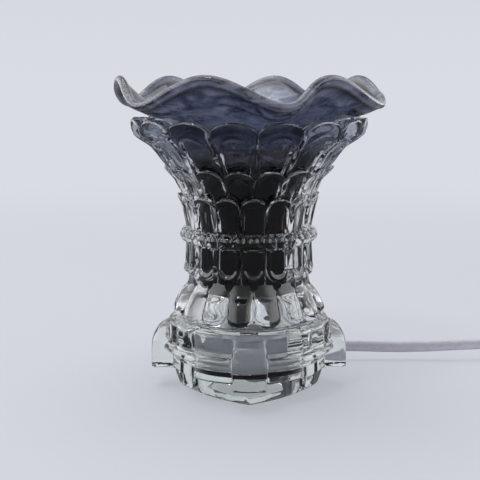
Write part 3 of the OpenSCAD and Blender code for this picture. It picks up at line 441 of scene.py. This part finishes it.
rim_drop, rim_share = 5.8, 0.1
outside = [plain_ring(30.9, vase_bottom), plain_ring(31.5, vase_bottom + 0.5)]
outside += [drop_ring(z) for z in np.concatenate([np.linspace(33.2, 36, 12), np.linspace(36.5, 52.5, 22)])]
outside += petal_row(line(0.232, -4.6, flute_phase), line(0.385, 0, flute_phase), flute_phase, steps=22,
                     relief=([0, 0.1, 1], [1.3, 1.6, 1.0]), frame_width=1.5, band=1.6, dip=0.8, hanging=True)
outside += bead_rings(0.425, half_height=3.2, steps=14)
outside += petal_row(line(0.468, 0, flute_phase), line(0.63, 4.8, flute_phase), flute_phase, steps=29,
                     relief=([0, 0.5, 1], [0.7, 1.2, 1.8]), frame_width=1.5, band=2.0, dip=0.85)
outside += petal_row(line(0.634, 4.8, flute_phase), line(0.765, 5.2, petal_phase), petal_phase, steps=31,
                     relief=([0, 0.4, 1], [0.4, 1.1, 1.9]), frame_width=1.7, band=2.2, dip=0.9)
outside += petal_row(line(0.769, 5.2, petal_phase), line(1, rim_drop, petal_phase), petal_phase, steps=48,
                     relief=([0, 0.3, 0.8, 1], [0.2, 0.9, 1.6, 1.3]), frame_width=1.9, band=6.8, dip=1.1)
# The plunger leaves a smooth inside, and the wall gains towards the rim
wall_least, wall_gain = 2.6, 1.2
inside = []
for share in np.concatenate([[1.0], np.linspace(0.99, 0.9, 5), np.linspace(0.86, 0, 16)]):
    z = line(share, rim_drop * max(0.0, (share - (1 - rim_share)) / rim_share), petal_phase)
    gain = wall_gain * along((z - vase_bottom) / vase_height, thickening)
    inside.append(vase_ring(vase_radius(z) - wall_least - gain, z))

# Fire polished pressed glass: clearer than the base's, and greyer where its wall is thickest, in the upper
# rows
vase_material = clear_glass("pressed soda-lime glass, vase", "#fdfefe", "#f8fafa", wave_mm=8,
                            wave_depth_mm=0.03)
tree = vase_material.node_tree
shader = next(node for node in tree.nodes if node.type == "BSDF_PRINCIPLED")
tone = shader.inputs["Base Color"].links[0].from_socket
upward = add(tree, "ShaderNodeSeparateXYZ", Vector=add(tree, "ShaderNodeTexCoord").outputs["Object"])
greyer = add(tree, "ShaderNodeMapRange", {"interpolation_type": "SMOOTHSTEP"}, Value=upward.outputs["Z"],
             From_Min=0.092, From_Max=0.114).outputs[0]
greyed = add(tree, "ShaderNodeMix", {"data_type": "RGBA", "blend_type": "MULTIPLY"}, _0=greyer, _6=tone,
             _7=linear("#bcbfc9"))
tree.links.new(greyed.outputs[2], shader.inputs["Base Color"])
vase_piece = ring_wall("vase_glass", outside + inside)
vase_piece.data.set_sharp_from_angle(angle=math.radians(55))
finish_piece(vase_piece, vase_material, "vase", "clear_glass", "pressed_vase")

# Ruffled sleeve. Smoke grey glass blown as a tube, flared and crimped by hand into six waves: near black in
# the tube, clouded lavender grey where the flare thins. It rests on the tips of the vase's petals.

sleeve_low, sleeve_height, tube_radius, rim_radius = 43.7, 89.3, 22.3, 59.0
sleeve_wall, edge_round, lip_gain = 2.4, 1.05, 0.6
# The waves, their turn in radians, and how far a crest draws the rim in
wave_height, waves, wave_turn, wave_draw = 5.6, 6, -1.005, 0.7
sleeve_tree = bpy.data.node_groups.new("blown and crimped sleeve", "GeometryNodeTree")
face = sleeve_tree.interface
face.new_socket("Geometry", in_out="INPUT", socket_type="NodeSocketGeometry")
for label, start in (("Tube radius", tube_radius / 1000), ("Rim radius", rim_radius / 1000),
                     ("Lower end", sleeve_low / 1000), ("Height", sleeve_height / 1000),
                     ("Wave height", wave_height / 1000), ("Wave draw", -wave_draw / 1000),
                     ("Waves", waves), ("Wave turn", wave_turn)):
    face.new_socket(label, in_out="INPUT", socket_type="NodeSocketFloat").default_value = start
face.new_socket("Glass", in_out="INPUT", socket_type="NodeSocketMaterial")
face.new_socket("Geometry", in_out="OUTPUT", socket_type="NodeSocketGeometry")
given = add(sleeve_tree, "NodeGroupInput").outputs
# Shares of the height, of the way from the tube's to the rim's radius, and of the full wave
profile = [(0, 0, 0), (0.07, 0.006, 0), (0.2, 0.02, 0), (0.36, 0.035, 0), (0.47, 0.062, 0),
           (0.56, 0.115, 0), (0.65, 0.2, 0), (0.73, 0.25, 0), (0.79, 0.3, 0.02), (0.83, 0.35, 0.08),
           (0.868, 0.45, 0.2), (0.9, 0.6, 0.38), (0.922, 0.73, 0.56), (0.96, 0.88, 0.8), (1, 1, 1)]
# The grid's rows stand at even steps along the wall, which flares by about this much
flare_width = 37.1
wall_steps = [math.hypot((high[0] - low[0]) * sleeve_height, (high[1] - low[1]) * flare_width)
              for low, high in zip(profile, profile[1:])]
wall_shares = [sum(wall_steps[:i]) / sum(wall_steps) for i in range(len(profile))]
points_round, points_up = 433, 97
grid = add(sleeve_tree, "GeometryNodeMeshGrid", Size_X=1.0, Size_Y=1.0, Vertices_X=points_round,
           Vertices_Y=points_up)
on_grid = add(sleeve_tree, "GeometryNodeInputPosition").outputs[0]
at = add(sleeve_tree, "ShaderNodeSeparateXYZ", Vector=on_grid)
turn = add(sleeve_tree, "ShaderNodeMapRange", Value=at.outputs["X"], From_Min=-0.5, From_Max=0.5,
           To_Max=2 * math.pi).outputs[0]
up = add(sleeve_tree, "ShaderNodeMath", {"operation": "ADD"}, _0=at.outputs["Y"], _1=0.5).outputs[0]
rise, widen, wavy = [add(sleeve_tree, "ShaderNodeFloatCurve", None,
                         [(share, row[k]) for share, row in zip(wall_shares, profile)], Value=up).outputs[0]
                     for k in range(3)]
# Crimped by hand, the waves stand a few degrees off an even step, here by their place round the rim
part_turn = add(sleeve_tree, "ShaderNodeMath", {"operation": "DIVIDE"}, _0=turn, _1=2 * math.pi).outputs[0]
slip_range = 60
off_step = [(0, 9), (0.07, 16), (0.147, 13), (0.21, 7), (0.37, 2), (0.44, 0), (0.54, 6), (0.61, 1),
            (0.7, 2.5), (0.785, 4.5), (0.846, -5), (0.944, 1), (1, 9)]
slip = add(sleeve_tree, "ShaderNodeFloatCurve", None,
           [(share, 0.5 + degrees / slip_range) for share, degrees in off_step], Value=part_turn)
slid = add(sleeve_tree, "ShaderNodeMath", {"operation": "MULTIPLY_ADD"}, _0=slip.outputs[0],
           _1=-math.radians(slip_range), _2=turn)
even = add(sleeve_tree, "ShaderNodeMath", {"operation": "ADD"}, _0=slid.outputs[0],
           _1=math.radians(slip_range / 2))
phase = add(sleeve_tree, "ShaderNodeMath", {"operation": "MULTIPLY_ADD"}, _0=even.outputs[0],
            _1=given["Waves"], _2=given["Wave turn"])
swing = add(sleeve_tree, "ShaderNodeMath", {"operation": "COSINE"}, _0=phase.outputs[0])
wave = add(sleeve_tree, "ShaderNodeMath", {"operation": "MULTIPLY"}, _0=swing.outputs[0], _1=wavy).outputs[0]
spread = add(sleeve_tree, "ShaderNodeMath", {"operation": "SUBTRACT"}, _0=given["Rim radius"],
             _1=given["Tube radius"])
radius = add(sleeve_tree, "ShaderNodeMath", {"operation": "MULTIPLY_ADD"}, _0=spread.outputs[0],
             _1=widen, _2=given["Tube radius"])
radius = add(sleeve_tree, "ShaderNodeMath", {"operation": "MULTIPLY_ADD"}, _0=wave, _1=given["Wave draw"],
             _2=radius.outputs[0]).outputs[0]
height = add(sleeve_tree, "ShaderNodeMath", {"operation": "MULTIPLY_ADD"}, _0=given["Height"],
             _1=rise, _2=given["Lower end"])
height = add(sleeve_tree, "ShaderNodeMath", {"operation": "MULTIPLY_ADD"}, _0=wave,
             _1=given["Wave height"], _2=height.outputs[0]).outputs[0]
east = add(sleeve_tree, "ShaderNodeMath", {"operation": "COSINE"}, _0=turn)
north = add(sleeve_tree, "ShaderNodeMath", {"operation": "SINE"}, _0=turn)
flat = add(sleeve_tree, "ShaderNodeCombineXYZ", X=east.outputs[0], Y=north.outputs[0])
reach = add(sleeve_tree, "ShaderNodeVectorMath", {"operation": "SCALE"}, Vector=flat.outputs[0], Scale=radius)
lift = add(sleeve_tree, "ShaderNodeCombineXYZ", Z=height)
placed = add(sleeve_tree, "ShaderNodeVectorMath", {"operation": "ADD"}, _0=reach.outputs[0],
             _1=lift.outputs[0])
marked = add(sleeve_tree, "GeometryNodeStoreNamedAttribute", {"data_type": "FLOAT", "domain": "POINT"},
             Geometry=grid.outputs["Mesh"], Name="way_up", Value=up)
shaped = add(sleeve_tree, "GeometryNodeSetPosition", Geometry=marked.outputs[0], Position=placed.outputs[0])
welded = add(sleeve_tree, "GeometryNodeMergeByDistance", Geometry=shaped.outputs[0], Distance=1e-5)
smooth = add(sleeve_tree, "GeometryNodeSetShadeSmooth", Geometry=welded.outputs[0])
real = add(sleeve_tree, "GeometryNodeRealizeInstances", Geometry=smooth.outputs[0])
coated = add(sleeve_tree, "GeometryNodeSetMaterial", Geometry=real.outputs[0], Material=given["Glass"])
add(sleeve_tree, "NodeGroupOutput", _0=coated.outputs[0])

# Smoke glass: near black while thick, it opens to a clouded grey where the flare is blown thin, with streaks
# of milky smoke drawn along it, and closes again towards the fat lip. There a dark band under the lip is
# painted shade, and the lip itself is painted pale as a highlight
sleeve_material, tree, shader, place = new_material("blown smoke grey glass")
way_up = add(tree, "ShaderNodeAttribute", {"attribute_name": "way_up"}).outputs["Fac"]


def wall_place(height):
    """Share of the way up the wall, measured along it, of a height in millimetres."""
    return float(np.interp((height - sleeve_low) / sleeve_height, [row[0] for row in profile], wall_shares))


# The ramp up the wall: the smoke's own tone, then a painted shade band at 0.962 and a painted highlight on
# the lip at 0.978
thinning_and_lip_highlight = add(tree, "ShaderNodeValToRGB", None, (
    (wall_place(98), "#08090c"), (wall_place(104), "#2b2f3c"), (wall_place(109), "#687089"),
    (wall_place(115), "#858da6"), (wall_place(119), "#9ba2b9"), (wall_place(124), "#a0a7bd"),
    (wall_place(128), "#9298ac"), (0.945, "#6f7384"), (0.962, "#2c2f37"), (0.978, "#9a9da9")), Fac=way_up)
cloud_mm, ripple_mm = 15, 14
stretched = add(tree, "ShaderNodeMapping", Vector=place, Scale=(1.0, 1.0, 1.9))
clouds = add(tree, "ShaderNodeTexNoise", Vector=stretched.outputs[0], Scale=1000 / cloud_mm, Detail=4.0,
             Roughness=0.55, Distortion=1.5)
smoke = add(tree, "ShaderNodeValToRGB", None, ((0.34, "#a6a8b4"), (0.46, "#cacbd6"), (0.57, "#e8e9f0"),
                                              (0.68, "#ffffff")), Fac=clouds.outputs["Fac"])
tint = add(tree, "ShaderNodeMix", {"data_type": "RGBA", "blend_type": "MULTIPLY"}, _0=1.0,
           _6=thinning_and_lip_highlight.outputs[0], _7=smoke.outputs[0])
veil = add(tree, "ShaderNodeMapRange", {"interpolation_type": "SMOOTHSTEP"}, Value=way_up,
           From_Min=wall_place(99), From_Max=wall_place(112), To_Max=0.6).outputs[0]
milk = add(tree, "ShaderNodeMapRange", Value=clouds.outputs["Fac"], From_Min=0.36, From_Max=0.6).outputs[0]
cast = add(tree, "ShaderNodeMath", {"operation": "MULTIPLY"}, _0=veil, _1=milk)
clear = add(tree, "ShaderNodeMath", {"operation": "SUBTRACT"}, _0=1.0, _1=cast.outputs[0])
tree.links.new(tint.outputs[2], shader.inputs["Base Color"])
tree.links.new(clear.outputs[0], shader.inputs["Transmission Weight"])
shader.inputs["Roughness"].default_value = 0.04
shader.inputs["IOR"].default_value = 1.5
drawn = add(tree, "ShaderNodeTexNoise", Vector=place, Scale=1000 / ripple_mm, Detail=1.5)
bent = add(tree, "ShaderNodeBump", Height=drawn.outputs["Fac"], Strength=0.3, Distance=0.0002)
tree.links.new(bent.outputs[0], shader.inputs["Normal"])

sleeve_piece = bpy.data.objects.new("sleeve_glass", bpy.data.meshes.new("sleeve_glass"))
scene.collection.objects.link(sleeve_piece)
blown = sleeve_piece.modifiers.new("blown and crimped", "NODES")
blown.node_group = sleeve_tree
for item in face.items_tree:
    if item.in_out == "INPUT" and item.name == "Glass":
        blown[item.identifier] = sleeve_material
wall = sleeve_piece.modifiers.new("glass wall", "SOLIDIFY")
wall.thickness, wall.offset, wall.use_even_offset = sleeve_wall / 1000, -1.0, True
rounding = sleeve_piece.modifiers.new("fire polished edges", "BEVEL")
rounding.width, rounding.segments, rounding.limit_method = edge_round / 1000, 4, "ANGLE"
rounding.angle_limit = math.radians(60)
bpy.context.view_layer.update()
grown = bpy.data.meshes.new_from_object(sleeve_piece.evaluated_get(bpy.context.evaluated_depsgraph_get()))
sleeve_piece.modifiers.clear()
# The rim's edge, fire polished, has drawn itself together to a fat lip
count = len(grown.vertices)
spots, normals, ways = np.zeros(count * 3), np.zeros(count * 3), np.zeros(count)
grown.vertices.foreach_get("co", spots)
grown.vertices.foreach_get("normal", normals)
grown.attributes["way_up"].data.foreach_get("value", ways)
lip = np.interp(ways, [0.965, 0.985, 1.0], [0, lip_gain, lip_gain / 2]) / 1000
spots += normals * np.repeat(lip, 3)
grown.vertices.foreach_set("co", spots)
grown.update()
sleeve_piece.data = grown
finish_piece(sleeve_piece, sleeve_material, "bowl", "smoked_glass", "ruffled_sleeve")

# Oil dish. Thin clear glass, blown and spread to a shallow dish, whose rim rests in the sleeve's throat over
# the bulb. It holds the scented oil.

# Blown thin, it is all but colourless, with a slow, shallow wave
dish_material = clear_glass("blown clear glass, dish", "#ffffff", "#f9fbfa", wave_mm=10, wave_depth_mm=0.02)
dress("oil_dish", dish_material)

# Cord. Flat twin lead, two cores side by side under one pale lilac PVC skin with a groove between them, laid
# on edge. It runs from the base's strain relief to the dimmer, and from there in a coil to the plug.

cord_width, cord_thick = 5.4, 2.8
# Soft PVC: pale lilac with a faint blush, and a waxy half gloss
cord_material, tree, shader, place = new_material("extruded PVC, flat twin lead")
blush_mm = 3
blush = add(tree, "ShaderNodeTexNoise", Vector=place, Scale=1000 / blush_mm, Detail=2.0)
skin = add(tree, "ShaderNodeValToRGB", None, ((0.3, "#d3d1da"), (0.7, "#dfdde4")), Fac=blush.outputs["Fac"])
tree.links.new(skin.outputs[0], shader.inputs["Base Color"])
shader.inputs["Roughness"].default_value = 0.38


def swept_lead(name, path, steps=28, groove_share=0.31):
    """The lead along a route in millimetres, its wide side upright: two round cores with a groove between."""
    outline = []
    for k in range(steps):
        across, z = math.cos(2 * math.pi * k / steps), cord_width / 2 * math.sin(2 * math.pi * k / steps)
        off = max(abs(z) - (cord_width - cord_thick) / 2, -cord_thick * groove_share)
        x = math.sqrt(max(0.0, (cord_thick / 2) ** 2 - off ** 2))
        outline.append((math.copysign(x, across) if abs(across) > 1e-9 else 0.0, z))
    points, faces = [], []
    for i, here in enumerate(path):
        way = (path[min(i + 1, len(path) - 1)] - path[max(i - 1, 0)]).normalized()
        side = way.cross(Vector((0, 0, 1))).normalized()
        points += [(here + side * x + side.cross(way) * z) / 1000 for x, z in outline]
    for i in range(len(path) - 1):
        for k in range(steps):
            after = (k + 1) % steps
            faces.append((i * steps + k, (i + 1) * steps + k, (i + 1) * steps + after, i * steps + after))
    faces.append(tuple(range(steps - 1, -1, -1)))
    faces.append(tuple(range((len(path) - 1) * steps, len(path) * steps)))
    piece = closed_piece(name, points, faces)
    piece.data.set_sharp_from_angle(angle=math.radians(60))
    return piece


def smooth_route(points, step=2.0):
    """A smooth curve through the points, in steps of about step millimetres."""
    pts = [Vector(p) for p in points]
    out = []
    for i in range(len(pts) - 1):
        a, b, c, d = pts[max(i - 1, 0)], pts[i], pts[i + 1], pts[min(i + 2, len(pts) - 1)]
        count = max(1, round((c - b).length / step))
        for k in range(count):
            t = k / count
            out.append(0.5 * ((2 * b) + (c - a) * t + (2 * a - 5 * b + 4 * c - d) * t * t
                              + (3 * b - a - 3 * c + d) * t ** 3))
    return out + [pts[-1]]


# From the relief's tip, on the diagonal, straight on and round to the dimmer
relief_tip, straight = 38.5, 3.0
tip, ahead = relief_tip * math.sqrt(0.5), (relief_tip + straight) * math.sqrt(0.5)
lamp_side = smooth_route([
    (tip, tip, 5), (ahead, ahead, 5), (32, 31.9, 5.4), (35, 34.3, 5.9), (39, 36.6, 6.5), (44, 38.2, 6.9),
    (50, 38.9, 7), (57, 39, 6.9), (64, 38.9, 6.7), (72, 38.7, 6.6), (80, 38.5, 6.7), (88, 38.3, 6.9),
    (96, 38.2, 7.3), (104, 38.1, 7.7), (112, 38, 8.1), (118, 38, 8.4), (122, 38, 8.5), (125, 38, 8.5)])
lamp_cord = swept_lead("lamp_side_lead", lamp_side)
finish_piece(lamp_cord, cord_material, "base", "cord_plastic", "cord_lamp_side")

# Two layers of turns, in to the middle and out again, with a dip where one layer climbs on the other
coil_centre, coil_outer, coil_turns, coil_step, turn_points = Vector((242, 2, 0)), 36.0, 4, 3.5, 96
low, layer_step, dip_depth, dip_start, dip_turns = 2.9, 6.0, 2.2, 0.1, 0.8
all_turns = 2 * coil_turns + 0.5
coil = []
for i in range(int(all_turns * turn_points) + 1):
    t = i / turn_points
    dipped = (t - coil_turns + dip_start) / dip_turns
    dip = dip_depth * (1 - math.cos(2 * math.pi * dipped)) / 2 if 0 < dipped < 1 else 0.0
    r = coil_outer - coil_step * min(t, coil_turns, all_turns - t) - dip
    layer = (1 - math.cos(2 * math.pi * min(max(t - coil_turns, 0.0), 0.5))) / 2
    a = math.radians(90 - 360 * t)
    coil.append(coil_centre + Vector((r * math.cos(a), r * math.sin(a), low + layer_step * layer)))
# Steps along the cord, each with the share of the way down to the floor, or from the coil's top to the plug
steps_down = [(0, 0), (3, 0), (7, 0.05), (12, 0.2), (18, 0.41), (24, 0.63), (30, 0.82), (35, 0.95), (40, 1),
              (44, 1), (47, 1)]
steps_off = [(0, 0), (3, 0), (7, 0.05), (12, 0.26), (17, 0.58), (21, 0.84), (24, 1), (27, 1)]
dimmer_end, plug_up = Vector((195, 38, 8.5)), 7
coil_top, plug_line = low + layer_step, coil_centre.y - coil_outer
to_coil = smooth_route([(dimmer_end.x + x, dimmer_end.y, dimmer_end.z + (low - dimmer_end.z) * share)
                        for x, share in steps_down])
to_plug = smooth_route([(coil_centre.x - x, plug_line, coil_top + (plug_up - coil_top) * share)
                        for x, share in steps_off])
plug_side = to_coil[:-1] + coil + to_plug[1:]
plug_cord = swept_lead("plug_side_lead", plug_side)
finish_piece(plug_cord, cord_material, "base", "cord_plastic", "cord_to_coil", "cord_coil", "cord_to_plug")

# The relief and the plug are of a softer, slightly duller and darker PVC than the skin
relief_material = moulded("soft PVC, moulded", "#c3c1ce", "#d0ceda", grain_mm=0.6, depth_mm=0.01, rough=0.42)
dress("cord_relief", relief_material)

# In-line dimmer. Two white ABS shells held by two screws from below, with a knurled wheel in a slot, a small
# board inside, and a tapered relief at each end.

# White and grey ABS are dull where spark textured; the board's mask is a deep green over a woven glass grain
shell_material = moulded("white ABS, spark textured", "#dcdcde", "#e9e9ea", grain_mm=0.5, depth_mm=0.02,
                         rough=0.45)
wheel_material = moulded("grey ABS, wheel", "#b9b9be", "#c9c9cd", grain_mm=0.5, depth_mm=0.02, rough=0.4)
board_material = moulded("glass epoxy board, solder mask", "#14492b", "#1d5d38", grain_mm=1.2, depth_mm=0.01,
                         rough=0.35)
for node in ("dimmer_base", "dimmer_cover", "dimmer_reliefs"):
    dress(node, shell_material)
dress("dimmer_wheel", wheel_material)
dress("dimmer_board", board_material)
dress("dimmer_screws", zinc_material)

# Plug. Soft PVC moulded over the lead's end, with finger grips at its sides, a tapered relief at its back
# and two flat brass blades.

dress("plug_body", relief_material)
dress("plug_blades", brass_material)

# Studio. A pale floor that runs out into a pale backdrop, one wide soft light overhead and a small one that
# gives the glass its sparkle, and the camera a little under the rim's height, looking slightly down.

floor_radius = 2.4
floor_mesh = bpy.data.meshes.new("studio_floor")
rim = [(floor_radius * math.cos(math.radians(a)), floor_radius * math.sin(math.radians(a)), 0.0)
       for a in range(0, 360, 5)]
floor_mesh.from_pydata(rim, [], [tuple(range(len(rim)))])
floor = bpy.data.objects.new("studio_floor", floor_mesh)
scene.collection.objects.link(floor)
# Matt paint that takes the object's shadow, mixed half and half with the backdrop's own colour by the object
# and all of that colour farther out. That colour glows, so by the object it is painted light that lifts the
# floor and half fills the object's shadow. The light that it throws back is the paint's alone.
floor_material = bpy.data.materials.new("matt painted floor")
floor_material.use_nodes = True
tree = floor_material.node_tree
tree.nodes.clear()
place = add(tree, "ShaderNodeTexCoord").outputs["Object"]
away = add(tree, "ShaderNodeVectorMath", {"operation": "LENGTH"}, Vector=place).outputs["Value"]
fade = add(tree, "ShaderNodeMapRange", {"interpolation_type": "SMOOTHSTEP"}, Value=away, From_Min=0.2,
           From_Max=0.9, To_Min=0.5).outputs[0]
ray = add(tree, "ShaderNodeLightPath").outputs
shown = add(tree, "ShaderNodeMath", {"operation": "SUBTRACT"}, _0=1.0, _1=ray["Is Diffuse Ray"]).outputs[0]
fade = add(tree, "ShaderNodeMath", {"operation": "MULTIPLY"}, _0=fade, _1=shown).outputs[0]
painted = add(tree, "ShaderNodeBsdfDiffuse", Color=linear("#d0d2d9"))
# The backdrop's colour as a glow: by the object it is painted light that half fills the shadow
far_off = add(tree, "ShaderNodeEmission", Color=linear("#d9dce3"))
both = add(tree, "ShaderNodeMixShader", _0=fade, _1=painted.outputs[0], _2=far_off.outputs[0])
# Black cards lie round the front of the set, painted into the floor as dark reflections: only what the glass
# or another sheen mirrors shows them
near_side = add(tree, "ShaderNodeMapRange", {"interpolation_type": "SMOOTHSTEP"},
                Value=add(tree, "ShaderNodeSeparateXYZ", Vector=place).outputs["Y"], From_Min=0.25,
                From_Max=0.05).outputs[0]
mirrored = add(tree, "ShaderNodeMath", {"operation": "MINIMUM"}, _0=ray["Glossy Depth"], _1=shown).outputs[0]
inner = add(tree, "ShaderNodeMath", {"operation": "MINIMUM"}, _0=ray["Transmission Depth"],
            _1=mirrored).outputs[0]
laid_off = add(tree, "ShaderNodeMapRange", {"interpolation_type": "SMOOTHSTEP"}, Value=away, From_Min=0.065,
               From_Max=0.095).outputs[0]
carded = add(tree, "ShaderNodeMath", {"operation": "MULTIPLY"}, _0=near_side, _1=inner).outputs[0]
carded = add(tree, "ShaderNodeMath", {"operation": "MULTIPLY"}, _0=carded, _1=laid_off).outputs[0]
outer = add(tree, "ShaderNodeMath", {"operation": "LESS_THAN"}, _0=ray["Transmission Depth"], _1=0.5)
skin = add(tree, "ShaderNodeMath", {"operation": "MULTIPLY"}, _0=outer.outputs[0],
           _1=ray["Is Glossy Ray"]).outputs[0]
carded = add(tree, "ShaderNodeMath", {"operation": "MULTIPLY_ADD"}, _0=skin, _1=0.72, _2=carded).outputs[0]
card = add(tree, "ShaderNodeEmission", Color=linear("#1a1a1c"))
laid = add(tree, "ShaderNodeMixShader", _0=carded, _1=both.outputs[0], _2=card.outputs[0])
add(tree, "ShaderNodeOutputMaterial", Surface=laid.outputs[0])
floor_mesh.materials.append(floor_material)

# The room: seen straight or through glass it is the pale backdrop, mirrored it is dark in front and pale
# behind, and matt surfaces get an even light from it
world = bpy.data.worlds.new("soft room light")
scene.world = world
world.use_nodes = True
tree = world.node_tree
tree.nodes.clear()
way = add(tree, "ShaderNodeSeparateXYZ", Vector=add(tree, "ShaderNodeTexCoord").outputs["Generated"])
ray = add(tree, "ShaderNodeLightPath").outputs
backdrop = add(tree, "ShaderNodeValToRGB", None, ((0.0, "#d9dce3"), (0.25, "#cfd2d9")), Fac=way.outputs["Z"])
behind = add(tree, "ShaderNodeMapRange", Value=way.outputs["Y"], From_Min=-1.0, From_Max=1.0).outputs[0]
room = add(tree, "ShaderNodeValToRGB", None, ((0.0, "#1c1c1e"), (0.42, "#303033"), (0.62, "#c6c8ce"),
                                             (1.0, "#d9dce3")), Fac=behind)
lit = add(tree, "ShaderNodeMix", {"data_type": "RGBA"}, _0=ray["Is Diffuse Ray"], _6=room.outputs[0],
          _7=linear("#bcbec4"))
unmirrored = add(tree, "ShaderNodeMath", {"operation": "LESS_THAN"}, _0=ray["Glossy Depth"], _1=0.5)
open_ray = add(tree, "ShaderNodeMath", {"operation": "SUBTRACT"}, _0=unmirrored.outputs[0],
               _1=ray["Is Diffuse Ray"])
seen = add(tree, "ShaderNodeMix", {"data_type": "RGBA"}, _0=open_ray.outputs[0], _6=lit.outputs[2],
           _7=backdrop.outputs[0])
# Painted highlights: two bright walls and a sheet overhead show only in what the outermost skin mirrors
aside = add(tree, "ShaderNodeMath", {"operation": "ABSOLUTE"}, _0=way.outputs["X"]).outputs[0]
walls = add(tree, "ShaderNodeMapRange", {"interpolation_type": "SMOOTHSTEP"}, Value=aside, From_Min=0.3,
            From_Max=0.8, To_Min=0.18, To_Max=1.0).outputs[0]
above = add(tree, "ShaderNodeMapRange", {"interpolation_type": "SMOOTHSTEP"}, Value=way.outputs["Z"],
            From_Min=0.45, From_Max=0.85, To_Max=0.3).outputs[0]
sheet = add(tree, "ShaderNodeMath", {"operation": "MAXIMUM"}, _0=walls, _1=above).outputs[0]
bright = add(tree, "ShaderNodeMath", {"operation": "MULTIPLY"}, _0=sheet, _1=3.2).outputs[0]
outer = add(tree, "ShaderNodeMath", {"operation": "LESS_THAN"}, _0=ray["Transmission Depth"], _1=0.5)
skin = add(tree, "ShaderNodeMath", {"operation": "MULTIPLY"}, _0=outer.outputs[0],
           _1=ray["Is Glossy Ray"]).outputs[0]
seen = add(tree, "ShaderNodeMix", {"data_type": "RGBA"}, _0=skin, _6=seen.outputs[2], _7=linear("#fdfeff"))
strong = add(tree, "ShaderNodeMix", {"data_type": "FLOAT"}, _0=skin, _2=1.0, _3=bright)
sky = add(tree, "ShaderNodeBackground", Color=seen.outputs[2], Strength=strong.outputs[0])
add(tree, "ShaderNodeOutputWorld", Surface=sky.outputs[0])


def soft_light(name, place, aim, width, depth, watts):
    """A rectangular soft light, its place and aim in metres."""
    lamp = bpy.data.lights.new(name, "AREA")
    lamp.shape = "RECTANGLE"
    lamp.size, lamp.size_y, lamp.energy = width, depth, watts
    holder = bpy.data.objects.new(name, lamp)
    holder.location = place
    holder.rotation_euler = (Vector(aim) - Vector(place)).to_track_quat("-Z", "Y").to_euler()
    scene.collection.objects.link(holder)


soft_light("overhead softbox", (-0.15, 0.15, 1.1), (0, 0, 0.05), width=0.9, depth=0.9, watts=6)
soft_light("small softbox", (-0.35, -0.45, 0.9), (0, 0, 0.08), width=0.16, depth=0.16, watts=1.2)

# The picture is 480 points wide, and the lens is as long as 970 of them
picture_width, lens_points = 480, 970
lens = bpy.data.cameras.new("camera")
lens.sensor_width = 36
lens.lens = lens_points * lens.sensor_width / picture_width
camera = bpy.data.objects.new("camera", lens)
pitch, roll = math.radians(9.5), math.radians(-0.1)
camera.matrix_world = (Matrix.Translation((-0.0039, -0.4294, 0.139))
                       @ Matrix.Rotation(math.pi / 2 - pitch, 4, "X") @ Matrix.Rotation(roll, 4, "Z"))
scene.collection.objects.link(camera)
scene.camera = camera
